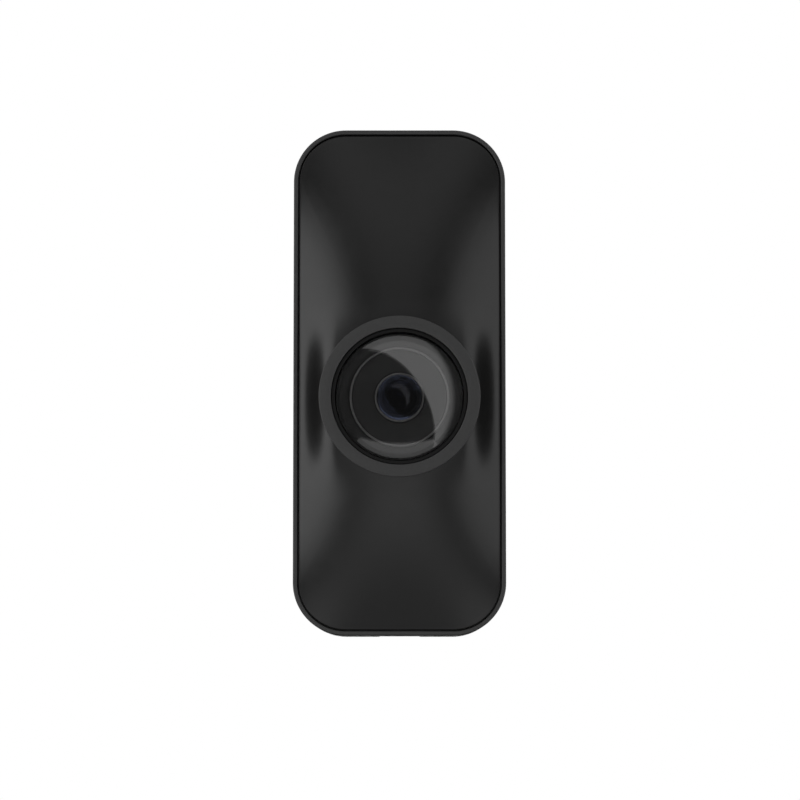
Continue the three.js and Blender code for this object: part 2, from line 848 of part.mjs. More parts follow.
function bodyGroup() {
  const group = new THREE.Group();
  group.add(
    part("wall_plate", wallPlate(), GREY_PLASTIC),
    part("security_screw", securityScrew(), STEEL),
    part("rear_housing", rearHousing(), GREY_PLASTIC),
    part("front_shell", frontShell(), BLACK_PLASTIC),
    part("perimeter_seal", perimeterSeal(), RUBBER),
    part("main_board", mainBoard(), BOARD_GREEN),
    part("processor", box([-6, 6], [-10, 2], [9.3, 10.1]), CHIP_BLACK),
    part("shield_can", box([-9, 9], [-41, -28], [9.3, 11.6]), STEEL),
    part("antenna", antenna(), STEEL),
    part("battery", slab(roundedRectangle(18, 13.4, 2), 9.6, 15.6, 4).translate(0, 32, 0), BATTERY_FOIL),
    part("usb_socket", usbSocket(), STEEL),
    part("usb_cover", usbCover(), RUBBER),
    part("setup_button", setupButton(), GREY_PLASTIC),
    part("setup_plunger", setupPlunger(), BLACK_MATT),
    part("setup_switch", setupSwitch(), CHIP_BLACK),
    part("microphone", box([8.6, 12.4], [-53.8, -50.8], [9.3, 10.4]), STEEL),
    part("microphone_boot", microphoneBoot(), RUBBER),
    part("speaker_mesh", box([-10.8, 7.6], [-57.7, -57.4], [12, 18]), FOAM),
  );
  const atCorner = (mesh, i) => {
    const [sx, sy] = CORNERS[i];
    mesh.position.set(sx * CASE_SCREW.x, sy * CASE_SCREW.y, 0);
  };
  addCopies(group, CORNERS.length, "case_screw", atCorner, caseScrew, STEEL);
  const atTerminal = (mesh, i) => mesh.position.set(i ? TERMINAL_X : -TERMINAL_X, WIRE_OPENING.y, 0);
  addCopies(group, 2, "terminal_screw", atTerminal, terminalScrew, BRASS);
  addCopies(group, 2, "terminal_washer", atTerminal, terminalWasher, BRASS);
  return group;
}

function speakerGroup() {
  const group = new THREE.Group();
  group.position.y = SPEAKER.y;
  group.add(
    part("speaker_basket", speakerBasket(), BLACK_MATT),
    part("speaker_magnet", bar(6, 12.5, 14.6), STEEL),
    part("speaker_cone", speakerCone(), FOAM),
    part("speaker_gasket", speakerGasket(), FOAM),
  );
  return group;
}

function cameraGroup() {
  const group = new THREE.Group();
  group.position.y = LENS_HEIGHT;
  const clearGlass = part("clear_glass", filterGlass(), LENS_GLASS);
  clearGlass.position.x = FILTER_PITCH;
  group.add(
    part("button_ring", buttonRing(), GREY_PLASTIC),
    part("button_membrane", buttonMembrane(), RUBBER),
    part("button_board", buttonBoard(), BOARD_GREEN),
    part("camera_housing", cameraHousing(), BLACK_PLASTIC),
    part("dome_window", domeWindow(), SMOKED_GLASS),
    part("dome_seal", domeSeal(), RUBBER),
    part("lens_shroud", lensShroud(), BLACK_MATT),
    part("shroud_trim_ring", shroudTrimRing(), GREY_PLASTIC),
    part("lens_barrel", lensBarrel(), BLACK_MATT),
    part("lens_front_element", frontElement(), LENS_GLASS),
    part("lens_rear_element", rearElement(), LENS_GLASS),
    part("lens_retainer", lensRetainer(), GREY_PLASTIC),
    part("lens_holder", lensHolder(), BLACK_MATT),
    part("ir_filter_carriage", filterCarriage(), BLACK_PLASTIC),
    part("ir_cut_glass", filterGlass(), LENS_GLASS),
    clearGlass,
    part("image_sensor", box([-3.6, 3.6], [-3.2, 3.2], [11.5, 12.4]), CHIP_BLACK),
    part("camera_board", bar(15.3, 10.4, 11.4, 24), BOARD_GREEN),
    part("camera_ribbon", cameraRibbon(), POLYIMIDE),
    part("ir_led_board", ledBoard(), BOARD_GREEN),
  );
  addCopies(group, SWITCH_COUNT, "button_switch", aroundAxis(SWITCH_CIRCLE), buttonSwitch, CHIP_BLACK);
  const plunger = () => bar(0.9, 18.5, 19.9, 16);
  addCopies(group, SWITCH_COUNT, "switch_plunger", aroundAxis(SWITCH_CIRCLE), plunger, BLACK_MATT);
  addCopies(group, SWITCH_COUNT, "ir_led", aroundAxis(11), infraredLed, CHIP_BLACK);
  return group;
}

const doorbell = new THREE.Group();
doorbell.add(bodyGroup(), speakerGroup(), cameraGroup());
doorbell.rotation.x = Math.PI / 2; // front view frame to +Z up

export default doorbell;
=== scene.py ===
"""A slim video doorbell on its wall plate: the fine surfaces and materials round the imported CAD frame.

Sections are worked out in a front view frame in millimetres, as in the CAD: x to the right, y up, and
depth out of the wall towards the visitor. place() turns that frame into Blender's, in metres.
"""

import json
import math

import bmesh
import bpy
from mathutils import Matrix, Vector


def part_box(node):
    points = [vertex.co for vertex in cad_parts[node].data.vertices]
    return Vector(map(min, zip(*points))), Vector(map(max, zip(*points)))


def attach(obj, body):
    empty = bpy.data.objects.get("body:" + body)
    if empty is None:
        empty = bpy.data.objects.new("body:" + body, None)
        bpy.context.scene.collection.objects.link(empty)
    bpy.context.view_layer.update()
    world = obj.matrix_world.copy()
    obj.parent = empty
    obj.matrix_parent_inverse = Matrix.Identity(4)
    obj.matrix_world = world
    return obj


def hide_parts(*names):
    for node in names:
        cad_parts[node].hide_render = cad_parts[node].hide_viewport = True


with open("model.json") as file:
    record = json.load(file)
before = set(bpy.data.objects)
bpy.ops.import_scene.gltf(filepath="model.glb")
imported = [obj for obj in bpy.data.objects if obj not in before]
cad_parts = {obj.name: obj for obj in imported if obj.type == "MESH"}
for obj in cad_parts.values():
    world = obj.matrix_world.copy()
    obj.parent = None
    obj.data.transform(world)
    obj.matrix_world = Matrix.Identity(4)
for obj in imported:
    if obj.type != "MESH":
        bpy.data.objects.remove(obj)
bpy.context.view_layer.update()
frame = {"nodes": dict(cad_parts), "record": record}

MM = 0.001
ROUND = 160  # segments in a turned part that shows
SMALL_ROUND = 64  # segments in a screw or other small turned part
CORNER = 28  # segments in one corner of the body


class Extent:
    """A CAD node's box, in the front view frame."""

    def __init__(self, node):
        low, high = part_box(node)
        self.left, self.right = low.x / MM, high.x / MM
        self.bottom, self.top = low.z / MM, high.z / MM
        self.back, self.front = -high.y / MM, -low.y / MM
        self.y = (self.bottom + self.top) / 2
        self.depth = (self.back + self.front) / 2
        self.half_width = (self.right - self.left) / 2
        self.half_height = (self.top - self.bottom) / 2
        self.radius = self.half_width


BODY = Extent("rear_housing")
SHELL = Extent("front_shell")
RING = Extent("button_ring")
TUBE = Extent("camera_housing")
DOME = Extent("dome_window")
TRIM = Extent("shroud_trim_ring")
FRONT_GLASS = Extent("lens_front_element")
PLATE = Extent("wall_plate")
LOCK_SCREW = Extent("security_screw")
COVER = Extent("usb_cover")
SOCKET = Extent("usb_socket")
SETUP = Extent("setup_button")
LENS_Y = TUBE.y

CORNER_RADIUS = 12.4
WALL = 2.2
RIM = 1.0
SHELL_INSET = BODY.half_width - SHELL.half_width
LEDGE = 19.0
FLOOR_BACK = 3.2
FLOOR_FRONT = 4.8

BARREL_RADIUS = 18.7  # the shell's opening round the ring
BARREL_BORE = 17.7
CROWN_BASE = 21.6  # the depth that the shell's crown rises from
SHELL_BACK = 19.6
SHELL_INNER_FRONT = 28.0
SHELL_THICKNESS = 1.5
SHOULDER_OUTER = 23.5  # where the shoulders beside the barrel start and end, across the shell
SHOULDER_INNER = 14.0
SHOULDER_REACH = 24.0  # how far they run up and down it

RING_BORE = 16.0
BEZEL_OUTER = 15.5
BEZEL_LIP = 15.88
BEZEL_SEAT = 15.02
DOME_CURVATURE = 30.0
DOME_RIM_INNER = 13.9
DOME_THICKNESS = 1.2
DOME_EDGE_BACK = 29.2

HOOK_X = 13.0
HOOK_FEET = (30.0, -36.0)  # the height of each pair of hooks
POCKET_DEPTH = 6.2
WIRE_OPENING = {"y": -16.0, "half_width": 11.0, "half_height": 9.0}
SLOT_HEIGHTS = (43.0, -40.0)  # of the two slots for the wall screws
SLOT_HALF_WIDTH, SLOT_HALF_HEIGHT = 2.4, 4.5
PLATE_FRONT = 2.8
SCREW_SEAT = -58.2  # where the security screw's head rests

WINDOW_INNER_ARC = {"centre": (-2.57, -1.54), "dark": 3.445, "bright": 3.46}
WINDOW_OUTER_ARC = {"centre": (-2.1, 0.2), "dark": 3.5, "bright": 3.25}
SURROUND_STRENGTH, BACKDROP_STRENGTH = 0.02, 1.0
SCREW_DEPTH = (LOCK_SCREW.back + LOCK_SCREW.front) / 2


def place(x, y, depth):
    return Vector((x * MM, -depth * MM, y * MM))


# ---------------------------------------------------------------- mesh building


def new_piece(name, bm, material, body, slot, *nodes, smooth_angle=35):
    """Finishes a piece: outward faces, smooth shading between edges, its material and its CAD nodes."""
    bmesh.ops.recalc_face_normals(bm, faces=bm.faces)
    mesh = bpy.data.meshes.new(name)
    bm.to_mesh(mesh)
    bm.free()
    mesh.materials.append(material)
    piece = bpy.data.objects.new(name, mesh)
    bpy.context.scene.collection.objects.link(piece)
    smooth_again(piece, smooth_angle)
    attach(piece, body)
    if nodes:
        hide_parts(*nodes)
    return piece


def smooth_again(piece, angle=35):
    piece.data.shade_smooth()
    piece.data.set_sharp_from_angle(angle=math.radians(angle))


def loft(bm, loops, closed=False):
    """Skins loops of equally many points, in order, and caps its ends or joins them if closed."""
    rings = [[bm.verts.new(point) for point in loop] for loop in loops]
    pairs = list(zip(rings, rings[1:]))
    if closed:
        pairs.append((rings[-1], rings[0]))
    else:
        bm.faces.new(rings[0])
        bm.faces.new(rings[-1])
    for ring_a, ring_b in pairs:
        for i in range(len(ring_a)):
            j = (i + 1) % len(ring_a)
            bm.faces.new((ring_a[i], ring_a[j], ring_b[j], ring_b[i]))
    return bm


def rounded(points, radii, steps=5):
    """A closed section with each corner rounded by an arc. A radius of 0 keeps the corner."""
    result = []
    count = len(points)
    for i, (corner, radius) in enumerate(zip(points, radii)):
        corner = Vector(corner)
        if radius == 0:
            result.append(tuple(corner))
            continue
        to_last = (Vector(points[i - 1]) - corner).normalized()
        to_next = (Vector(points[(i + 1) % count]) - corner).normalized()
        angle = to_last.angle(to_next)
        reach = radius / math.tan(angle / 2)
        centre = corner + (to_last + to_next).normalized() * (radius / math.sin(angle / 2))
        start = corner + to_last * reach - centre
        end = corner + to_next * reach - centre
        sweep = start.angle(end)
        for k in range(steps + 1):
            share = k / steps
            arc = (start * math.sin((1 - share) * sweep) + end * math.sin(share * sweep)) / math.sin(sweep)
            result.append(tuple(centre + arc))
    return result


def on_lens_axis(u, v, w):
    """Maps (across, up, forwards) onto the lens axis."""
    return place(u, LENS_Y + v, w)


def turned(bm, section, segments=ROUND, to_world=on_lens_axis):
    """Turns a section of (radius, w) points about the w axis. Points on the axis close its ends."""
    rings = []
    for radius, w in section:
        if radius < 1e-6:
            rings.append([bm.verts.new(to_world(0, 0, w))])
            continue
        angles = [2 * math.pi * i / segments for i in range(segments)]
        circle = [(radius * math.cos(a), radius * math.sin(a)) for a in angles]
        rings.append([bm.verts.new(to_world(u, v, w)) for u, v in circle])
    for k in range(len(rings)):
        ring_a, ring_b = rings[k], rings[(k + 1) % len(rings)]
        if len(ring_a) == 1 and len(ring_b) == 1:
            continue
        for i in range(segments):
            j = (i + 1) % segments
            if len(ring_a) == 1:
                bm.faces.new((ring_a[0], ring_b[j], ring_b[i]))
            elif len(ring_b) == 1:
                bm.faces.new((ring_a[i], ring_a[j], ring_b[0]))
            else:
                bm.faces.new((ring_a[i], ring_a[j], ring_b[j], ring_b[i]))
    return bm


def outline(half_width, half_height, radius, steps=CORNER, grow=0):
    """A rounded rectangle's points, anticlockwise from the right-hand end of its lowest corner."""
    half_width += grow
    half_height += grow
    radius = max(radius + grow, 1e-3)
    points = []
    for quarter, (sx, sy) in enumerate([(1, 1), (-1, 1), (-1, -1), (1, -1)]):
        cx = sx * (half_width - radius)
        cy = sy * (half_height - radius)
        for k in range(steps + 1):
            angle = math.pi / 2 * (quarter + k / steps)
            points.append((cx + radius * math.cos(angle), cy + radius * math.sin(angle)))
    return points


def body_loop(inset, depth):
    """The body's outline, moved in by inset."""
    points = outline(BODY.half_width, BODY.half_height, CORNER_RADIUS, grow=-inset)
    return [place(x, y, depth) for x, y in points]


def edge_arc(radius, steps=4):
    """(inwards, forwards) steps of a rounded edge, from the side round to the face."""
    angles = [math.pi / 2 * k / steps for k in range(steps + 1)]
    return [(radius * (1 - math.cos(a)), radius * (math.sin(a) - 1)) for a in angles]


def soft_bar(bm, shape, start, end, to_world, edge=0.0, steps=6):
    """A rounded rectangle (half_u, half_v, radius) from w = start to end, with its end's edge rounded."""
    sign = 1 if end > start else -1
    stations = [(start, 0)] + [(end + sign * forward, -inward) for inward, forward in edge_arc(edge)]
    if edge == 0:
        stations = [(start, 0), (end, 0)]
    return loft(bm, [[to_world(u, v, w) for u, v in outline(*shape, steps, grow)] for w, grow in stations])


def block(x0, x1, y0, y1, d0, d1):
    """A plain box as a boolean tool."""
    corners = [(x0, y0), (x1, y0), (x1, y1), (x0, y1)]
    return loft(bmesh.new(), [[place(x, y, depth) for x, y in corners] for depth in (d0, d1)])


def prism(bm, profile, to_world, start, end):
    """A profile of (u, v) points, given thickness from w = start to end."""
    return loft(bm, [[to_world(u, v, w) for u, v in profile] for w in (start, end)])


def mouth(shape, inner, surface, flare, to_world, steps=6):
    """A tool for a hole from inner out past surface, whose edge opens out in an arc of size flare."""
    sign = 1 if surface > inner else -1
    stations = [(inner, 0)]
    stations += [(surface + sign * forward, grow) for grow, forward in edge_arc(flare)]
    stations.append((surface + sign, flare))
    loops = [[to_world(u, v, w) for u, v in outline(*shape, steps, grow)] for w, grow in stations]
    return loft(bmesh.new(), loops)


def boolean(piece, operation, *tools, smooth_angle=35):
    """Cuts or joins tools, which don't touch each other, in one step."""
    mesh = bpy.data.meshes.new("tool")
    merged = bmesh.new()
    for tool in tools:
        bmesh.ops.recalc_face_normals(tool, faces=tool.faces)
        tool.to_mesh(mesh)
        tool.free()
        merged.from_mesh(mesh)
    merged.to_mesh(mesh)
    merged.free()
    helper = bpy.data.objects.new("tool", mesh)
    bpy.context.scene.collection.objects.link(helper)
    modifier = piece.modifiers.new("boolean", "BOOLEAN")
    modifier.operation = operation
    modifier.solver = "EXACT"
    modifier.object = helper
    evaluated = piece.evaluated_get(bpy.context.evaluated_depsgraph_get())
    result = bpy.data.meshes.new_from_object(evaluated)
    piece.modifiers.remove(modifier)
    old = piece.data
    piece.data = result
    bpy.data.meshes.remove(old)
    result.name = piece.name
    bpy.data.objects.remove(helper)
    bpy.data.meshes.remove(mesh)
    smooth_again(piece, smooth_angle)
    return piece


# ---------------------------------------------------------------- materials


def principled(name, **values):
    """A Principled material with its constant sockets set, given as Base_Color=(...), Roughness=0.4."""
    material = bpy.data.materials.new(name)
    material.use_nodes = True
    for socket, value in values.items():
        shader_of(material).inputs[socket.replace("_", " ")].default_value = value
    return material


def shader_of(material):
    return material.node_tree.nodes["Principled BSDF"]


def add_node(material, kind, **settings):
    node = material.node_tree.nodes.new(kind)
    for key, value in settings.items():
        if key in node.inputs:
            node.inputs[key].default_value = value
        else:
            setattr(node, key, value)
    return node


def wire(material, source, output, target, socket):
    material.node_tree.links.new(source.outputs[output], target.inputs[socket])


def own_coordinates(material, texture, stretch=None):
    """Feeds a texture with the piece's own coordinates, in metres, stretched if asked."""
    source = add_node(material, "ShaderNodeTexCoord")
    if stretch is None:
        wire(material, source, "Object", texture, "Vector")
        return
    mapping = add_node(material, "ShaderNodeMapping", Scale=stretch)
    wire(material, source, "Object", mapping, "Vector")
    wire(material, mapping, "Vector", texture, "Vector")


def noise(material, scale, detail=3.0, stretch=None):
    texture = add_node(material, "ShaderNodeTexNoise", Scale=scale, Detail=detail)
    own_coordinates(material, texture, stretch)
    return texture


def two_tones(material, texture, output, low, high, spread=(0.35, 0.65)):
    """Colours the material from low to high with a texture's output."""
    ramp = add_node(material, "ShaderNodeValToRGB")
    for element, position, colour in zip(ramp.color_ramp.elements, spread, (low, high)):
        element.position = position
        element.color = (*colour, 1)
    wire(material, texture, output, ramp, "Fac")
    wire(material, ramp, "Color", shader_of(material), "Base Color")


def vary_roughness(material, texture, low, high):
    spread = add_node(material, "ShaderNodeMapRange")
    spread.inputs["From Min"].default_value = 0.3
    spread.inputs["From Max"].default_value = 0.7
    spread.inputs["To Min"].default_value = low
    spread.inputs["To Max"].default_value = high
    wire(material, texture, "Fac", spread, "Value")
    wire(material, spread, "Result", shader_of(material), "Roughness")


def bumps(material, texture, output, strength, distance):
    bump = add_node(material, "ShaderNodeBump", Strength=strength, Distance=distance)
    wire(material, texture, output, bump, "Height")
    wire(material, bump, "Normal", shader_of(material), "Normal")


def grey(value):
    return (value, value, value)


def moulded(name, tone, roughness, grain_scale=7000, grain_strength=0.1, specular=0.5):
    """Moulded plastic or rubber: a fine spark-eroded grain, and barely uneven in tone and sheen."""
    material = principled(name, Specular_IOR_Level=specular)
    two_tones(material, noise(material, 1500), "Fac", grey(tone * 0.95), grey(tone * 1.05))
    vary_roughness(material, noise(material, 420), roughness - 0.015, roughness + 0.015)
    bumps(material, noise(material, grain_scale, 2.0), "Fac", grain_strength, 0.02 * MM)
    return material


def clear(name, tint, index, coat=0.0, coat_tint=(1, 1, 1)):
    material = principled(
        name, Base_Color=(*tint, 1), Transmission_Weight=1.0, IOR=index, Coat_Weight=coat,
        Coat_Tint=(*coat_tint, 1),
    )
    vary_roughness(material, noise(material, 60), 0.0, 0.01)
    return material


def smoked_window():
    """Thin smoked plastic with a hard coat: it lets most light straight through, and shines."""
    material = principled("dome_glass", Base_Color=(*grey(0.01), 1), IOR=3.5, Alpha=0.3)
    vary_roughness(material, noise(material, 60), 0.0, 0.02)
    return material


def brushed(name, colour, roughness, stretch=(1, 1, 40)):
    """A metal with fine lines along one axis."""
    material = principled(name, Metallic=1.0, Base_Color=(*colour, 1))
    lines = noise(material, 900, 4.0, stretch)
    vary_roughness(material, lines, roughness - 0.05, roughness + 0.08)
    bumps(material, lines, "Fac", 0.15, 0.01 * MM)
    return material


def circuit_board():
    """Green solder mask with paler copper tracks under it."""
    material = principled("circuit_board", Roughness=0.35)
    tracks = add_node(material, "ShaderNodeTexVoronoi", Scale=260)
    tracks.feature = "DISTANCE_TO_EDGE"
    own_coordinates(material, tracks)
    two_tones(material, tracks, "Distance", (0.05, 0.2, 0.09), (0.012, 0.07, 0.032), (0.04, 0.07))
    return material


def woven(name, low, high, scale):
    material = principled(name, Roughness=0.9)
    weave = add_node(material, "ShaderNodeTexChecker", Scale=scale)
    weave.inputs["Color1"].default_value = (*grey(low), 1)
    weave.inputs["Color2"].default_value = (*grey(high), 1)
    own_coordinates(material, weave)
    wire(material, weave, "Color", shader_of(material), "Base Color")
    bumps(material, weave, "Fac", 0.4, 0.05 * MM)
    return material


def foil():
    material = principled("battery_foil", Metallic=0.8)
    two_tones(material, noise(material, 90), "Fac", grey(0.3), grey(0.38))
    vary_roughness(material, noise(material, 500), 0.3, 0.5)
    bumps(material, noise(material, 900, 2.0), "Fac", 0.25, 0.1 * MM)
    return material


def ribbon_film():
    material = principled("ribbon", Roughness=0.35)
    stripes = add_node(material, "ShaderNodeTexWave", Scale=420, bands_direction="X")
    own_coordinates(material, stripes)
    two_tones(material, stripes, "Fac", (0.42, 0.14, 0.015), (0.3, 0.08, 0.008))
    return material


GREY_PLASTIC = moulded("grey_plastic", 0.034, 0.5)
BLACK_PLASTIC = moulded("black_plastic", 0.0045, 0.32, 9000, 0.05)
BEZEL_BLACK = moulded("bezel_black", 0.005, 0.4, specular=0.2)
BLACK_PARTS = moulded("black_parts", 0.006, 0.6)
DISH_BLACK = moulded("dish_black", 0.05, 0.5)
TRIM_GREY = moulded("trim_grey", 0.3, 0.3)
RUBBER = moulded("rubber", 0.011, 0.75, 5000, 0.2)
FOAM = woven("foam", 0.012, 0.03, 2600)
DOME_GLASS = smoked_window()
LENS_GLASS = clear("lens_glass", (0.5, 0.52, 0.56), 1.8, 0.4, (0.6, 0.7, 1.0))
STEEL = brushed("steel", (0.42, 0.43, 0.44), 0.3)
BRASS = brushed("brass", (0.5, 0.31, 0.1), 0.3)
BOARD = circuit_board()
FOIL = foil()
RIBBON = ribbon_film()

BY_SLOT = {
    "grey_plastic": GREY_PLASTIC,
    "black_plastic": BLACK_PLASTIC,
    "black_parts": BLACK_PARTS,
    "rubber": RUBBER,
    "foam": FOAM,
    "dome_glass": DOME_GLASS,
    "lens_glass": LENS_GLASS,
    "circuit_board": BOARD,
    "steel": STEEL,
    "brass": BRASS,
    "battery_foil": FOIL,
    "ribbon": RIBBON,
}


def paint_cad_nodes():
    """Gives every CAD node its slot's procedural material."""
    for entry in frame["record"]["subparts"]:
        node = frame["nodes"][entry["node"]]
        node.data.materials.clear()
        node.data.materials.append(BY_SLOT[entry["material_slot"]])


# ---------------------------------------------------------------- directions


def on_side(sign, y, depth):
    """Maps (along the depth, up, outwards) onto the left or right wall."""
    return lambda u, v, w: place(sign * w, y + v, depth + u)


def on_bottom(x, depth):
    """Maps (across, along the depth, downwards) onto the bottom wall."""
    return lambda u, v, w: place(x + u, -w, depth + v)


def upwards(x, depth):
    """Maps (across, along the depth, upwards)."""
    return lambda u, v, w: place(x + u, w, depth + v)


def forwards(x, y):
    """Maps (across, up, forwards)."""
    return lambda u, v, w: place(x + u, y + v, w)


def sideways(u, v, w):
    """Maps (up, along the depth, across), for a profile given in height and depth."""
    return place(w, u, v)


# ---------------------------------------------------------------- housing

CASE_SCREWS = [(sx * 17.5, sy * 50.0) for sx, sy in ((1, 1), (-1, 1), (-1, -1), (1, -1))]
TERMINALS = [(-5.0, WIRE_OPENING["y"]), (5.0, WIRE_OPENING["y"])]
HOOKS = [(sx * HOOK_X, foot) for foot in HOOK_FEET for sx in (-1, 1)]
BLOCK_FOOT = FLOOR_FRONT - 0.3  # blocks and bosses sink this far into the floor
BOSS_FRONT = 9.6
TERMINAL_POCKET = (10.5, 6.0)  # half its width and height
MICROPHONE_X, MICROPHONE_DEPTH = 10.5, 10.8
VENT_DEPTH, VENT_PITCH = 15, 3


def housing_body():
    """Skirt, outer wall, thin rim, ledge and floor as one skin, from the floor's back to its front."""
    edge, rim_edge = 0.35, 0.15
    chamfer = 0.2
    loops = [body_loop(WALL, FLOOR_BACK)]
    loops += [body_loop(WALL, BODY.back + chamfer), body_loop(WALL - chamfer, BODY.back)]
    loops += [body_loop(inward, BODY.back - forward) for inward, forward in reversed(edge_arc(edge))]
    loops += [body_loop(inward, BODY.front + forward) for inward, forward in edge_arc(edge)]
    rim_arc = reversed(edge_arc(rim_edge))
    loops += [body_loop(RIM - inward, BODY.front + forward) for inward, forward in rim_arc]
    loops += [body_loop(RIM, LEDGE), body_loop(WALL, LEDGE), body_loop(WALL, FLOOR_FRONT)]
    return loft(bmesh.new(), loops)


def hook_pocket(x, foot, wall=0.0):
    """The space for a hook, with an undercut for its lip, or with wall the block that it is cut from."""
    low, edge, high = foot - 4.6, foot + 2.7, foot + 5.8
    front = POCKET_DEPTH + 0.3
    reach = 3.1 + wall
    if wall:
        return block(x - reach, x + reach, low - wall, high + wall, BLOCK_FOOT, front + wall)
    window = [(low, FLOOR_BACK - 0.5), (edge, FLOOR_BACK - 0.5), (edge, FLOOR_FRONT), (high, FLOOR_FRONT)]
    return prism(bmesh.new(), window + [(high, front), (low, front)], sideways, x - reach, x + reach)


def screw_boss(x, y):
    radius = 3.2
    section = [(0, BLOCK_FOOT), (radius, BLOCK_FOOT), (radius, BOSS_FRONT), (0, BOSS_FRONT)]
    return turned(bmesh.new(), section, SMALL_ROUND, forwards(x, y))


def screw_recess(x, y):
    back, seat, front = FLOOR_BACK - 1, 5.2, BOSS_FRONT + 0.4
    head, shank = 2.2, 1.3
    section = [(0, back), (head, back), (head, seat), (shank, seat), (shank, front), (0, front)]
    return turned(bmesh.new(), section, SMALL_ROUND, forwards(x, y))


def housing_blocks():
    """What stands on the floor: hook pockets, screw bosses, the terminal pocket and the foot's pocket."""
    y, wall = WIRE_OPENING["y"], 1.0
    half_width, half_height = (half + wall for half in TERMINAL_POCKET)
    foot_half_width, foot_low, foot_high = 5.8, -58.2, -46.4
    blocks = [hook_pocket(x, foot, wall) for x, foot in HOOKS]
    blocks += [screw_boss(x, screw_y) for x, screw_y in CASE_SCREWS]
    blocks.append(
        block(-half_width, half_width, y - half_height, y + half_height, BLOCK_FOOT, POCKET_DEPTH + wall)
    )
    blocks.append(block(-foot_half_width, foot_half_width, foot_low, foot_high, BLOCK_FOOT, BOSS_FRONT))
    return blocks


def housing_holes():
    """Everything that opens through the housing except the charging socket's hole and the screw's."""
    y = WIRE_OPENING["y"]
    half_width, half_height = TERMINAL_POCKET
    bottom, side, cover_seat, button_seat = BODY.half_height, BODY.half_width, 24, 22
    inside_bottom = 57.0
    foot_half_width, foot_top, foot_front = 4.8, -55.9, 8.6
    holes = [hook_pocket(x, foot) for x, foot in HOOKS]
    holes += [screw_recess(x, screw_y) for x, screw_y in CASE_SCREWS]
    holes.append(
        block(-half_width, half_width, y - half_height, y + half_height, FLOOR_BACK - 1, POCKET_DEPTH)
    )
    for k in range(-3, 4):
        vent = on_bottom(VENT_PITCH * k, VENT_DEPTH)
        holes.append(mouth((0.6, 2.5, 0.58), inside_bottom, bottom, 0.25, vent))
    microphone = on_bottom(MICROPHONE_X, MICROPHONE_DEPTH)
    holes.append(mouth((0.6, 0.6, 0.59), inside_bottom, bottom, 0.2, microphone))
    holes.append(mouth((3.8, 6.8, 0.9), cover_seat, side, 0.2, on_side(1, COVER.y, COVER.depth)))
    holes.append(mouth((1.5, 3.2, 1.4), button_seat, side, 0.25, on_side(-1, SETUP.y, COVER.depth)))
    holes.append(block(-foot_half_width, foot_half_width, -bottom - 1, foot_top, 0, foot_front))
    return holes


def housing():
    """The grey case behind the black shell, cut for everything that passes through it."""
    piece = new_piece("housing_case", housing_body(), GREY_PLASTIC, "unit", "grey_plastic", "rear_housing")
    boolean(piece, "UNION", *housing_blocks())
    boolean(piece, "DIFFERENCE", *housing_holes())
    wall_inside, cover_seat = 22, 24.1
    socket_hole = mouth((2.0, 4.9, 0.5), wall_inside, cover_seat, 0.1, on_side(1, COVER.y, COVER.depth))
    low, high = -56.5, -47
    screw_hole = soft_bar(bmesh.new(), (1.5, 1.5, 1.49), low, high, upwards(0, SCREW_DEPTH))
    boolean(piece, "DIFFERENCE", socket_hole, screw_hole)


# ---------------------------------------------------------------- wall plate


def plate_sheet():
    """The plate with softened edges: a smaller one on the wall, a larger one in front."""
    bottom = -53.4
    middle, half_height = (PLATE.top + bottom) / 2, (PLATE.top - bottom) / 2
    radius = CORNER_RADIUS - WALL - 0.5

    def loop(inset, depth):
        return [
            place(x, middle + y, depth)
            for x, y in outline(PLATE.half_width, half_height, radius, steps=16, grow=-inset)
        ]

    loops = [loop(inward, -forward) for inward, forward in reversed(edge_arc(0.25))]
    loops += [loop(inward, PLATE_FRONT + forward) for inward, forward in edge_arc(0.5)]
    return loft(bmesh.new(), loops)


def plate_hook(x, foot):
    stem, high, lip_back = foot + 2.4, foot + 5.4, 5.0
    profile = rounded(
        [(foot, PLATE_FRONT - 0.5), (foot, POCKET_DEPTH), (high, POCKET_DEPTH), (high, lip_back),
         (stem, lip_back), (stem, PLATE_FRONT - 0.5)],
        [0, 0.5, 0.4, 0.4, 0.3, 0],
    )
    half_width = 2.5
    return prism(bmesh.new(), profile, sideways, x - half_width, x + half_width)


def plate_foot():
    """The tongue and shelf under the plate, which the security screw goes up through."""
    bottom, shelf, tongue, half_width = PLATE.bottom, -56.2, -52.4, 4.3
    profile = rounded(
        [(bottom, 0), (bottom, PLATE.front), (shelf, PLATE.front), (shelf, PLATE_FRONT),
         (tongue, PLATE_FRONT), (tongue, 0)],
        [0.3, 0.4, 0.4, 0.5, 0, 0],
    )
    return prism(bmesh.new(), profile, sideways, -half_width, half_width)


def stepped_slot(y):
    """An upright slot for a wall screw's shank, with a wider step for its head and a softened mouth."""
    step, head_depth, flare = 1.9, 1.3, 0.3
    stations = [(-1, 0), (head_depth, 0), (head_depth, step)]
    stations += [(PLATE_FRONT + forward, step + grow) for grow, forward in edge_arc(flare)]
    stations.append((PLATE_FRONT + 1, step + flare))
    shape = (SLOT_HALF_WIDTH, SLOT_HALF_HEIGHT, SLOT_HALF_WIDTH - 0.02)
    loops = [[place(u, y + v, w) for u, v in outline(*shape, 10, grow)] for w, grow in stations]
    return loft(bmesh.new(), loops)


def wire_hole():
    shape = (WIRE_OPENING["half_width"], WIRE_OPENING["half_height"], 2.0)
    return mouth(shape, -1, PLATE_FRONT, 0.4, forwards(0, WIRE_OPENING["y"]))


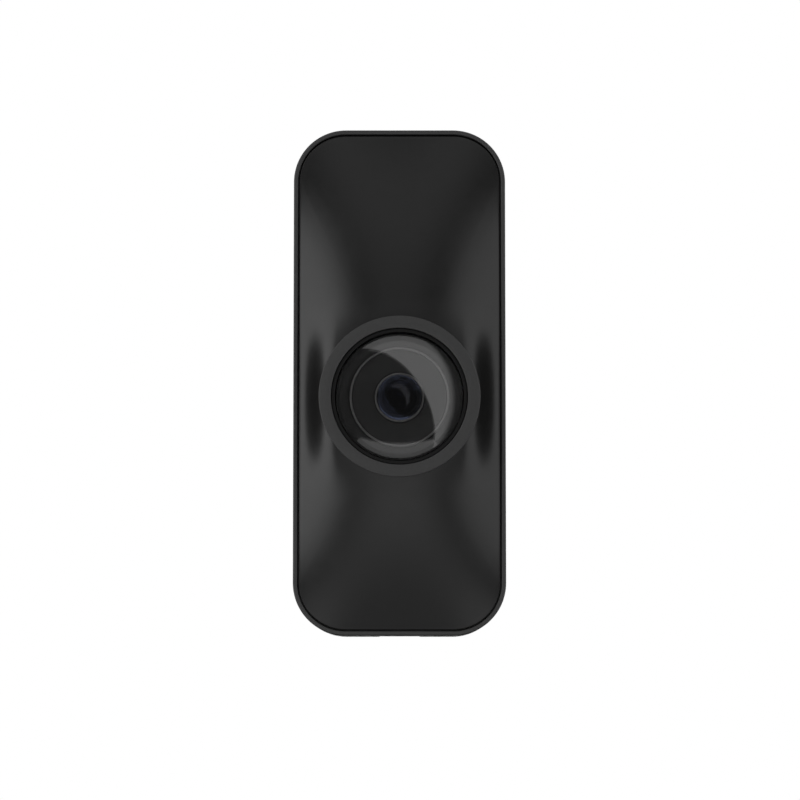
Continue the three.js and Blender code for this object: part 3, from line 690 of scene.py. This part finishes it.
def core_pockets():
    """Shallow pockets on the back, which keep the moulded sheet even in thickness."""
    depth, side_x = 0.9, 16.2
    pockets = []
    for sx in (-1, 1):
        for low, high in ((-48, -30), (-2, 16), (19, 34)):
            shape = (3.6, (high - low) / 2, 1.2)
            middle = (low + high) / 2
            pockets.append(soft_bar(bmesh.new(), shape, -1, depth, forwards(sx * side_x, middle)))
    for y, half_height in ((12, 6.0), (27, 4.5)):
        pockets.append(soft_bar(bmesh.new(), (8.5, half_height, 1.5), -1, depth, forwards(0, y)))
    return pockets


def wall_plate():
    piece = new_piece("back_plate", plate_sheet(), GREY_PLASTIC, "plate", "grey_plastic", "wall_plate")
    boolean(piece, "UNION", *[plate_hook(x, foot) for x, foot in HOOKS], plate_foot())
    slots = [stepped_slot(y) for y in SLOT_HEIGHTS]
    below, head, bore, seat, top = PLATE.bottom - 1, 2.4, 1.6, -58, -55
    section = [(0, below), (head, below), (head, seat), (bore, seat), (bore, top), (0, top)]
    screw_hole = turned(bmesh.new(), section, SMALL_ROUND, upwards(0, SCREW_DEPTH))
    boolean(piece, "DIFFERENCE", *slots, wire_hole(), screw_hole, *core_pockets())


# ---------------------------------------------------------------- screws and terminals


def screw_solid(head, shank, to_world, pitch=0.7, head_edge=0.25):
    """A screw from its head's face at w = head's start: head (radius, start, end), shank (radius, end)."""
    head_radius, start, end = head
    radius, tip = shank
    angles = [2 * math.pi * i / SMALL_ROUND for i in range(SMALL_ROUND)]

    def loop(w, size):
        return [to_world(size(a) * math.cos(a), size(a) * math.sin(a), w) for a in angles]

    loops = [
        loop(start - forward, lambda a, r=head_radius - inward: r)
        for inward, forward in reversed(edge_arc(head_edge))
    ]
    loops.append(loop(end, lambda a: head_radius))
    thread_depth = 0.16 * radius / 1.1
    steps_per_turn = 10
    count = int((tip - end) / pitch * steps_per_turn)
    for k in range(count + 1):
        w = end + (tip - end) * k / count
        run_out = min(1.0, k / steps_per_turn)
        point = min(1.0, 0.35 + (tip - w) / (2 * radius))

        def size(a, w=w, run_out=run_out, point=point):
            phase = (w / pitch - a / (2 * math.pi)) % 1
            ridge = max(0.0, 1 - abs(phase - 0.5) * 3.2)
            return point * (radius - thread_depth + thread_depth * ridge * run_out)

        loops.append(loop(w, size))
    return loft(bmesh.new(), loops)


def lobed_socket(radius, start, end, to_world):
    """A six-lobed driver socket."""
    segments, lobes, lobe_height = 72, 6, 0.16
    angles = [2 * math.pi * i / segments for i in range(segments)]
    sizes = [radius * (1 + lobe_height * math.cos(lobes * a)) for a in angles]
    profile = [(size * math.cos(a), size * math.sin(a)) for size, a in zip(sizes, angles)]
    return prism(bmesh.new(), profile, to_world, start, end)


def cross_socket(radius, start, end, to_world):
    """A cross-shaped driver socket."""
    half = radius * 0.28
    corners = [(radius, half), (half, half), (half, radius)]
    profile = []
    for quarter in range(4):
        c, s = [(1, 0), (0, 1), (-1, 0), (0, -1)][quarter]
        profile += [(u * c - v * s, u * s + v * c) for u, v in corners]
    return prism(bmesh.new(), profile, to_world, start, end)


def security_screw():
    """A screw with a lobed socket and a pin in the middle of it."""
    to_world = upwards(0, SCREW_DEPTH)
    head, shank = (2.2, LOCK_SCREW.bottom, SCREW_SEAT), (1.35, LOCK_SCREW.top)
    solid = screw_solid(head, shank, to_world)
    piece = new_piece("lock_bolt", solid, STEEL, "lock_screw", "steel", "security_screw")
    socket_floor, pin_radius, pin_face = SCREW_SEAT - 0.4, 0.28, SCREW_SEAT - 0.8
    boolean(piece, "DIFFERENCE", lobed_socket(1.05, LOCK_SCREW.bottom - 1, socket_floor, to_world))
    root = socket_floor - 0.1
    section = [(0, root), (pin_radius, root), (pin_radius, pin_face), (0, pin_face - 0.05)]
    boolean(piece, "UNION", turned(bmesh.new(), section, 24, to_world))


def case_screws():
    head, shank = (2.0, 3.4, 5.0), (1.1, 16.0)
    for i, (x, y) in enumerate(CASE_SCREWS):
        to_world = forwards(x, y)
        solid = screw_solid(head, shank, to_world)
        piece = new_piece(f"shell_screw_{i + 1}", solid, STEEL, "unit", "steel", f"case_screw_{i + 1}")
        boolean(piece, "DIFFERENCE", cross_socket(1.1, 2.4, 4.3, to_world))


def terminals():
    """Two slotted screws, each with a square washer under its head."""
    head, shank, pitch, head_edge = (2.6, 3.9, 5.3), (1.25, 7.9), 0.6, 0.35
    slot_reach, slot_half_width, slot_floor = 3, 0.4, 4.6
    washer_back, washer_front, washer_bore = 5.4, 6.0, 1.45
    for i, (x, y) in enumerate(TERMINALS):
        number = i + 1
        to_world = forwards(x, y)
        solid = screw_solid(head, shank, to_world, pitch, head_edge)
        piece = new_piece(
            f"binding_screw_{number}", solid, BRASS, "unit", "brass", f"terminal_screw_{number}"
        )
        slot_low, slot_high = y - slot_half_width, y + slot_half_width
        slot = block(x - slot_reach, x + slot_reach, slot_low, slot_high, slot_floor - 1.6, slot_floor)
        boolean(piece, "DIFFERENCE", slot)
        plate = soft_bar(bmesh.new(), (3.4, 3.4, 0.7), washer_front, washer_back, to_world, 0.15)
        washer = new_piece(
            f"clamp_washer_{number}", plate, BRASS, "unit", "brass", f"terminal_washer_{number}"
        )
        section = [(0, 5), (washer_bore, 5), (washer_bore, 7), (0, 7)]
        boolean(washer, "DIFFERENCE", turned(bmesh.new(), section, SMALL_ROUND, to_world))


# ---------------------------------------------------------------- front shell


def shell_outline(inset):
    """Points of the body's outline about the lens axis, as in the CAD but with finer steps."""
    side_steps, end_steps = 56, 20
    top = BODY.half_height - CORNER_RADIUS - LENS_Y
    bottom = -BODY.half_height + CORNER_RADIUS - LENS_Y
    half_width = BODY.half_width - inset
    radius = CORNER_RADIUS - inset
    x = half_width - radius
    points = []

    def corner(cx, cy, quarter):
        for k in range(CORNER):
            a = math.pi / 2 * (quarter + k / CORNER)
            points.append((cx + radius * math.cos(a), cy + radius * math.sin(a)))

    def side(sign, low, high):
        start, end = math.atan2(low, BODY.half_width), math.atan2(high, BODY.half_width)
        for k in range(side_steps):
            a = start + (end - start) * k / side_steps
            points.append((sign * half_width, BODY.half_width * math.tan(a)))

    def end(y, x0, x1):
        for k in range(end_steps):
            points.append((x0 + (x1 - x0) * k / end_steps, y))

    side(1, bottom, top)
    corner(x, top, 0)
    end(top + radius, x, -x)
    corner(-x, top, 1)
    side(-1, top, bottom)
    corner(-x, bottom, 2)
    end(bottom - radius, -x, x)
    corner(x, bottom, 3)
    return points


def rise(x, y):
    """The shell's rise at a point about the lens axis, from 0 at its edge to 1 at the barrel's top.

    It is a crown, parabolic across and along, with a steep shoulder on either side of the barrel.
    """
    across = x / (BODY.half_width - SHELL_INSET)
    along = y / (BODY.half_height - SHELL_INSET - math.copysign(1, y) * LENS_Y)
    crown = max(0, (1 - across ** 2) * (1 - along ** 2))
    t = (SHOULDER_OUTER - abs(x)) / (SHOULDER_OUTER - SHOULDER_INNER)
    t = min(max(t, 0), 1)
    shoulder = t ** 3 * (10 - 15 * t + 6 * t ** 2)
    shoulder *= max(0, 1 - (y / SHOULDER_REACH) ** 2) ** 2
    return crown + (1 - crown) * shoulder


def shell_loop(points, circle, share):
    """A flat loop that is a share of the way from a circle round the lens axis out to the outline."""
    loop = []
    for px, py in points:
        length = math.hypot(px, py)
        reach = circle + (length - circle) * share
        loop.append((px / length * reach, py / length * reach))
    return loop


def front_shell():
    """The black face: from its edge up to the barrel's lip, over it, and back along the inside."""
    steps, inner_steps, edge = 60, 16, 0.15
    face = shell_outline(SHELL_INSET + edge)
    inside = shell_outline(SHELL_INSET + SHELL_THICKNESS)

    def level(loop, depth):
        return [on_lens_axis(x, y, depth) for x, y in loop]

    def crowned(loop, under, base, top):
        return [on_lens_axis(x, y, base + (top - base) * rise(*at)) for (x, y), at in zip(loop, under)]

    loops = [level(shell_outline(SHELL_INSET), SHELL_BACK)]
    for inward, forward in edge_arc(edge):
        outline_loop = shell_outline(SHELL_INSET + inward)
        loops.append(crowned(outline_loop, face, CROWN_BASE + forward, SHELL.front + forward))
    for k in range(1, steps + 1):
        across = shell_loop(face, BARREL_RADIUS, 1 - k / steps)
        loops.append(crowned(across, across, CROWN_BASE, SHELL.front))
    loops.append(level(shell_loop(face, BARREL_RADIUS, 0), SHELL.front))
    loops.append(level(shell_loop(inside, BARREL_BORE, 0), SHELL.front))
    for k in range(inner_steps + 1):
        share = k / inner_steps
        under = shell_loop(face, BARREL_RADIUS, share)
        loops.append(crowned(shell_loop(inside, BARREL_BORE, share), under, SHELL_BACK, SHELL_INNER_FRONT))
    bm = loft(bmesh.new(), loops, closed=True)
    new_piece("shell", bm, BLACK_PLASTIC, "unit", "black_plastic", "front_shell", smooth_angle=28)


# ---------------------------------------------------------------- ring button and camera


def ring_button():
    """The ring that is pressed, with a skirt down to its membrane and three feet on it."""
    back, skirt, inner, skirt_foot = 30.9, 17.4, 16.6, 24.0
    section = rounded(
        [(RING_BORE, RING.front), (17.2, RING.front - 0.05), (RING.radius, RING.front - 0.22),
         (RING.radius, back), (skirt, back),
         (skirt, skirt_foot), (inner, skirt_foot), (inner, 29.5), (RING_BORE, 30.4)],
        [0.18, 0.6, 0.22, 0.15, 0, 0, 0, 0.3, 0.2],
    )
    solid = turned(bmesh.new(), section)
    piece = new_piece("press_ring", solid, GREY_PLASTIC, "ring_button", "grey_plastic", "button_ring")
    feet = []
    for k in range(3):
        angle = math.pi / 2 + 2 * math.pi * k / 3
        c, s = math.cos(angle), math.sin(angle)

        def to_world(u, v, w, c=c, s=s):
            reach = (skirt + inner) / 2 + u
            return on_lens_axis(reach * c - v * s, reach * s + v * c, w)

        feet.append(soft_bar(bmesh.new(), (0.7, 1.4, 0.3), skirt_foot + 0.3, RING.back, to_world, 0.15))
    boolean(piece, "UNION", *feet)


def camera_tube():
    """The tube that holds the dome, with a flange at the back and a lip round the dome's edge."""
    bore, flange_back, flange_front = 13.6, 14.8, 16.3
    front, seat, back = TUBE.front, 27.6, TUBE.back
    lip_back = front - 1.2
    section = rounded(
        [(BEZEL_OUTER, back), (BEZEL_OUTER, flange_back), (TUBE.radius, flange_back),
         (TUBE.radius, flange_front), (BEZEL_OUTER, flange_front), (BEZEL_OUTER, lip_back),
         (BEZEL_LIP, lip_back), (BEZEL_LIP, front), (BEZEL_SEAT + 0.08, front), (BEZEL_SEAT, seat + 1.4),
         (BEZEL_SEAT, seat), (bore, seat), (bore, back)],
        [0, 0, 0.2, 0.2, 0, 0, 0.1, 0.1, 0.1, 0.3, 0, 0, 0],
    )
    solid = turned(bmesh.new(), section)
    new_piece("camera_bezel", solid, BEZEL_BLACK, "unit", "black_plastic", "camera_housing")


def arc(radius, centre, start, end, steps):
    """A sphere's section between two distances from the axis."""
    first, last = math.asin(start / radius), math.asin(end / radius)
    angles = [first + (last - first) * k / steps for k in range(steps + 1)]
    return [(radius * math.sin(a), centre + radius * math.cos(a)) for a in angles]


def dome():
    centre = DOME.front - DOME_CURVATURE
    inner = DOME_CURVATURE - DOME_THICKNESS
    edge_front = centre + math.sqrt(DOME_CURVATURE ** 2 - DOME.radius ** 2)
    section = arc(DOME_CURVATURE, centre, 0, DOME.radius - 0.1, 40)
    section += [(DOME.radius, edge_front - 0.1), (DOME.radius, DOME_EDGE_BACK + 0.1)]
    section += [(DOME.radius - 0.1, DOME_EDGE_BACK), (DOME_RIM_INNER, DOME_EDGE_BACK)]
    section += arc(inner, centre, DOME_RIM_INNER, 0, 36)
    solid = turned(bmesh.new(), section)
    new_piece("dome", solid, DOME_GLASS, "unit", "dome_glass", "dome_window", smooth_angle=30)


def dome_gasket():
    inner, outer, back, front, edge = 13.75, 14.85, 27.63, 27.85, 0.08
    section = rounded([(inner, back), (outer, back), (outer, front), (inner, front)], [edge] * 4)
    solid = turned(bmesh.new(), section)
    new_piece("window_gasket", solid, RUBBER, "unit", "rubber", "dome_seal")


def dish():
    """The dark dish under the dome: a flange on the gasket, a groove for the trim ring, a hollow face."""
    foot, groove_floor, flange_back, flange_front = 25.6, 28.1, 27.9, 29.15
    groove_out, groove_in, hole, flange, edge = 11.8, 11.1, 5.95, 14.85, 0.05
    section = [(13.3, foot), (13.45, foot + 0.1), (13.45, flange_back)]
    section += [(flange - edge, flange_back), (flange, flange_back + edge)]
    section += [(flange, flange_front - edge), (flange - edge, flange_front)]
    section += [(13.9, 29.1), (13.0, 28.75), (groove_out + 0.1, 28.62), (groove_out, 28.55)]
    section += [(groove_out, groove_floor), (groove_in, groove_floor), (groove_in, 28.66)]
    section += [(11.0, 28.72), (10.0, 28.45), (8.6, 28.17), (7.2, 27.98), (hole + 0.1, 27.9)]
    section += [(hole, 27.8), (hole, 27.5), (7.2, 27.4), (12.6, 27.4), (12.6, foot)]
    solid = turned(bmesh.new(), section)
    new_piece("dish", solid, DISH_BLACK, "unit", "black_parts", "lens_shroud")


def trim_ring():
    low, high, back = 11.2, 11.7, 28.2
    corners = [(low, back), (high, back), (high, TRIM.front), (low, TRIM.front)]
    section = rounded(corners, [0, 0, 0.22, 0.22])
    solid = turned(bmesh.new(), section)
    new_piece("dish_trim", solid, TRIM_GREY, "unit", "grey_plastic", "shroud_trim_ring")


def lens_barrel():
    section = rounded(
        [(5.95, 14.8), (5.95, 21.6), (6.8, 22), (6.8, 27.2), (5.35, 27.2), (5.35, 25.3), (3.9, 25),
         (3.6, 18.8), (3.6, 16.3), (2.8, 16.1), (2.8, 14.8)],
        [0, 0, 0, 0.15, 0.1, 0, 0, 0, 0, 0, 0],
    )
    solid = turned(bmesh.new(), section, 96)
    new_piece("lens_tube", solid, BLACK_PARTS, "unit", "black_parts", "lens_barrel")


def lens_retainer():
    bore, outer, back, front = 5.3, 5.78, 27.3, 28.5
    section = rounded([(bore, back), (outer, back), (outer, front), (bore, front)], [0, 0, 0.2, 0.2])
    solid = turned(bmesh.new(), section, 128)
    new_piece("lens_ring", solid, TRIM_GREY, "unit", "grey_plastic", "lens_retainer")


def lenses():
    curvature, back = 5.65, 25.5
    face = arc(curvature, FRONT_GLASS.front - curvature, 0, FRONT_GLASS.radius, 32)
    solid = turned(bmesh.new(), face + [(FRONT_GLASS.radius, back), (0, back)], 128)
    new_piece("front_lens", solid, LENS_GLASS, "unit", "lens_glass", "lens_front_element")
    rear_radius, rear_back = 3.5, 16.5
    rear_face = arc(6, 12.6, 0, rear_radius, 16)
    rear = turned(bmesh.new(), rear_face + [(rear_radius, rear_back), (0, rear_back)], 96)
    new_piece("rear_lens", rear, LENS_GLASS, "unit", "lens_glass", "lens_rear_element")


# ---------------------------------------------------------------- side controls


def charging_cover():
    """A soft flap, flush with the wall, with nail grooves, and its plug in the socket."""
    face_back, edge = COVER.right - 0.95, 0.25
    to_world = on_side(1, COVER.y, COVER.depth)
    flap = soft_bar(bmesh.new(), (3.5, 6.5, 0.8), face_back, COVER.right, to_world, edge, 8)
    piece = new_piece("port_cover", flap, RUBBER, "charging_cover", "rubber", "usb_cover")
    plug = soft_bar(bmesh.new(), (1.2, 4.1, 1.1), face_back + 0.25, COVER.left, to_world, 0.2, 8)
    boolean(piece, "UNION", plug)
    grooves = []
    for k in range(3):
        depth = COVER.front - 0.9 - 0.7 * k
        bar = (0.16, 3.6, 0.15)
        groove_at = on_side(1, COVER.y, depth)
        grooves.append(soft_bar(bmesh.new(), bar, COVER.right - 0.25, COVER.right + 1, groove_at))
    boolean(piece, "DIFFERENCE", *grooves)


def charging_socket():
    """A flat round-ended socket with a contact tongue."""
    to_world = on_side(1, COVER.y, COVER.depth)
    shell = soft_bar(bmesh.new(), (1.6, 4.5, 1.55), SOCKET.left, SOCKET.right, to_world, 0.12, 10)
    piece = new_piece("socket", shell, STEEL, "unit", "steel", "usb_socket")
    cavity = soft_bar(bmesh.new(), (1.25, 4.15, 1.2), SOCKET.left + 1.5, SOCKET.right + 1, to_world, 0, 10)
    boolean(piece, "DIFFERENCE", cavity)
    tongue = soft_bar(bmesh.new(), (0.35, 3.3, 0.2), SOCKET.left + 1, SOCKET.right - 0.8, to_world, 0.15)
    boolean(piece, "UNION", tongue)
    contacts = []
    for k in range(12):
        for side in (-1, 1):
            contact_at = on_side(1, COVER.y - 2.75 + 0.5 * k, COVER.depth + side * 0.35)
            contacts.append(soft_bar(bmesh.new(), (0.06, 0.14, 0.05), 18.0, SOCKET.right - 1.1, contact_at))
    boolean(piece, "UNION", *contacts)


def setup_key():
    """The small button on the left side, with a flange that keeps it in the wall."""
    flange_out, depth = 22.5, COVER.depth
    to_world = on_side(-1, SETUP.y, depth)
    cap = soft_bar(bmesh.new(), (1.3, 3.0, 1.25), flange_out - 0.1, -SETUP.left, to_world, 0.3, 8)
    piece = new_piece("side_key", cap, GREY_PLASTIC, "side_button", "grey_plastic", "setup_button")
    flange_at = on_side(-1, SETUP.y, depth + 0.35)
    boolean(piece, "UNION", soft_bar(bmesh.new(), (1.85, 4.0, 0.5), 21.9, flange_out, flange_at))


# ---------------------------------------------------------------- stage


def flat_sheet(name, size, centre, material):
    """A square sheet that the camera sees and the pieces don't reflect."""
    bm = bmesh.new()
    half = size / 2
    corners = [(-half, -half, 0), (half, -half, 0), (half, half, 0), (-half, half, 0)]
    bm.faces.new([bm.verts.new(Vector(c) + Vector(centre)) for c in corners])
    mesh = bpy.data.meshes.new(name)
    bm.to_mesh(mesh)
    bm.free()
    mesh.materials.append(material)
    sheet = bpy.data.objects.new(name, mesh)
    bpy.context.scene.collection.objects.link(sheet)
    sheet.visible_diffuse = False
    sheet.visible_glossy = False
    return sheet


def receivers(name, pieces):
    """A collection of the pieces that a light falls on."""
    collection = bpy.data.collections.new(name)
    for piece in pieces:
        collection.objects.link(piece)
    return collection


def panel(name, location, size, radiance, lit):
    """An area light of even radiance, in metres. It still has to be turned."""
    light = bpy.data.lights.new(name, "AREA")
    light.shape = "RECTANGLE"
    light.size, light.size_y = size
    light.energy = radiance * math.pi * size[0] * size[1]
    lamp = bpy.data.objects.new(name, light)
    lamp.location = location
    lamp.visible_camera = False
    lamp.light_linking.receiver_collection = lit
    bpy.context.scene.collection.objects.link(lamp)
    return lamp


def softbox(name, azimuth, elevation, distance, size, radiance, lit):
    """A panel that faces the lens from a direction given in degrees."""
    turn, lift = math.radians(azimuth), math.radians(elevation)
    direction = Vector((math.sin(turn) * math.cos(lift), -math.cos(turn) * math.cos(lift), math.sin(lift)))
    lamp = panel(name, on_lens_axis(0, 0, BODY.front) + direction * distance, size, radiance, lit)
    lamp.rotation_euler = (-direction).to_track_quat("-Z", "Y").to_euler()


def window_pane(name, distance, centre, size, radiance, lit):
    """A panel parallel to the wall, placed and sized in multiples of its distance from the dome.

    It shines only between two arcs, a hard edge and a soft one, and so do its reflections.
    """
    x, y = centre
    location = on_lens_axis(0, 0, DOME.front) + Vector((x, -1, y)) * distance
    lamp = panel(name, location, (size[0] * distance, size[1] * distance), radiance, lit)
    lamp.rotation_euler = (math.radians(90), 0, 0)
    light = lamp.data
    light.use_nodes = True
    tree = light.node_tree
    nodes, links = tree.nodes, tree.links
    emission = nodes["Emission"]
    place_on_lamp = nodes.new("ShaderNodeNewGeometry")

    def shade(arc):
        """From 0 at the dark distance from an arc's centre to 1 at the bright one."""
        arc_x, arc_y = arc["centre"]
        shift = nodes.new("ShaderNodeMapping")
        shift.inputs["Location"].default_value = (x - size[0] / 2 - arc_x, y - size[1] / 2 - arc_y, 0)
        shift.inputs["Scale"].default_value = (size[0], size[1], 0)
        links.new(place_on_lamp.outputs["Parametric"], shift.inputs["Vector"])
        reach = nodes.new("ShaderNodeVectorMath")
        reach.operation = "LENGTH"
        links.new(shift.outputs["Vector"], reach.inputs[0])
        ramp = nodes.new("ShaderNodeMapRange")
        ramp.inputs["From Min"].default_value = arc["dark"]
        ramp.inputs["From Max"].default_value = arc["bright"]
        links.new(reach.outputs["Value"], ramp.inputs["Value"])
        return ramp.outputs["Result"]

    both = nodes.new("ShaderNodeMath")
    both.operation = "MULTIPLY"
    links.new(shade(WINDOW_INNER_ARC), both.inputs[0])
    links.new(shade(WINDOW_OUTER_ARC), both.inputs[1])
    links.new(both.outputs["Value"], emission.inputs["Strength"])


def table_top(name, drop, centre, size, radiance, lit):
    """A level panel that faces up, placed and sized in multiples of its drop below the lens axis."""
    x, y = centre
    location = on_lens_axis(0, 0, DOME.front) + Vector((x, -y, -1)) * drop
    lamp = panel(name, location, (size[0] * drop, size[1] * drop), radiance, lit)
    lamp.rotation_euler = (math.radians(180), 0, 0)


def studio():
    """White for the camera's own view, and a dim even surround for everything else."""
    sky = bpy.data.worlds.new("studio")
    sky.use_nodes = True
    bpy.context.scene.world = sky
    nodes, links = sky.node_tree.nodes, sky.node_tree.links
    nodes.clear()
    backgrounds = []
    for strength in (SURROUND_STRENGTH, BACKDROP_STRENGTH):
        background = nodes.new("ShaderNodeBackground")
        background.inputs["Color"].default_value = (1, 1, 1, 1)
        background.inputs["Strength"].default_value = strength
        backgrounds.append(background)
    ray = nodes.new("ShaderNodeLightPath")
    choose = nodes.new("ShaderNodeMixShader")
    output = nodes.new("ShaderNodeOutputWorld")
    links.new(ray.outputs["Is Camera Ray"], choose.inputs["Fac"])
    links.new(backgrounds[0].outputs["Background"], choose.inputs[1])
    links.new(backgrounds[1].outputs["Background"], choose.inputs[2])
    links.new(choose.outputs["Shader"], output.inputs["Surface"])


def camera():
    """Straight on, from a little below."""
    distance, elevation = 0.755, math.radians(-5.0)
    data = bpy.data.cameras.new("camera")
    data.sensor_width = 36
    data.lens = 143.8
    data.clip_start = 0.01
    cam = bpy.data.objects.new("camera", data)
    aim = on_lens_axis(0.12, -0.08, BODY.front)
    back = Vector((0, -math.cos(elevation), math.sin(elevation)))
    cam.location = aim + back * distance
    cam.rotation_euler = (-back).to_track_quat("-Z", "Y").to_euler()
    bpy.context.scene.collection.objects.link(cam)
    bpy.context.scene.camera = cam


def all_but(things, *names):
    return [thing for thing in things if thing.name not in names]


def lights(floor):
    """Softboxes round the case, a window and a table for the glass, and a light for the floor."""
    meshes = [thing for thing in bpy.context.scene.objects if thing.type == "MESH"]
    glass_names = ("dome", "front_lens", "rear_lens")
    glass = [bpy.data.objects[name] for name in glass_names]
    case = all_but(meshes, "floor", *glass_names)
    on_case = receivers("case_pieces", case)
    on_glass = receivers("glass_pieces", glass)
    on_dome = receivers("dome_piece", [bpy.data.objects["dome"]])
    not_shell = receivers("all_but_shell", all_but(case, "shell"))
    on_floor = receivers("floor_sheet", [floor])
    softbox("left", -66, 5, 0.7, (0.64, 1.3), 1.8, on_case)
    softbox("right", 64, 5, 0.7, (0.64, 1.3), 1.1, on_case)
    softbox("front", 0, 5, 0.9, (0.6, 0.9), 0.3, on_case)
    softbox("high", 0, 38, 0.9, (0.9, 0.3), 0.62, on_case)
    softbox("sill", 0, -14, 0.9, (0.95, 0.4), 0.66, on_case)
    softbox("low", 0, -52, 0.7, (0.7, 0.5), 0.4, on_case)
    softbox("behind", 165, 20, 0.9, (1.2, 1.2), 2.0, not_shell)
    softbox("overhead", 0, 88, 0.9, (0.9, 0.9), 0.7, not_shell)
    softbox("ceiling", 0, 88, 2.0, (4.0, 4.0), 1.6, on_floor)
    window_pane("window", 0.3, (0.2, 0.6), (3.2, 4.0), 0.56, on_glass)
    table_top("table", 0.25, (-0.1, 0.55), (2.0, 1.2), 0.38, on_dome)


paint_cad_nodes()
housing()
wall_plate()
security_screw()
case_screws()
terminals()
front_shell()
ring_button()
camera_tube()
dome()
dome_gasket()
dish()
trim_ring()
lens_barrel()
lens_retainer()
lenses()
charging_cover()
charging_socket()
setup_key()

camera()
studio()
pale = principled("floor", Roughness=0.8, Base_Color=(0.85, 0.85, 0.85, 1))
lights(flat_sheet("floor", 6.0, (0, 0, -0.75), pale))
bpy.context.scene.view_settings.view_transform = "Standard"
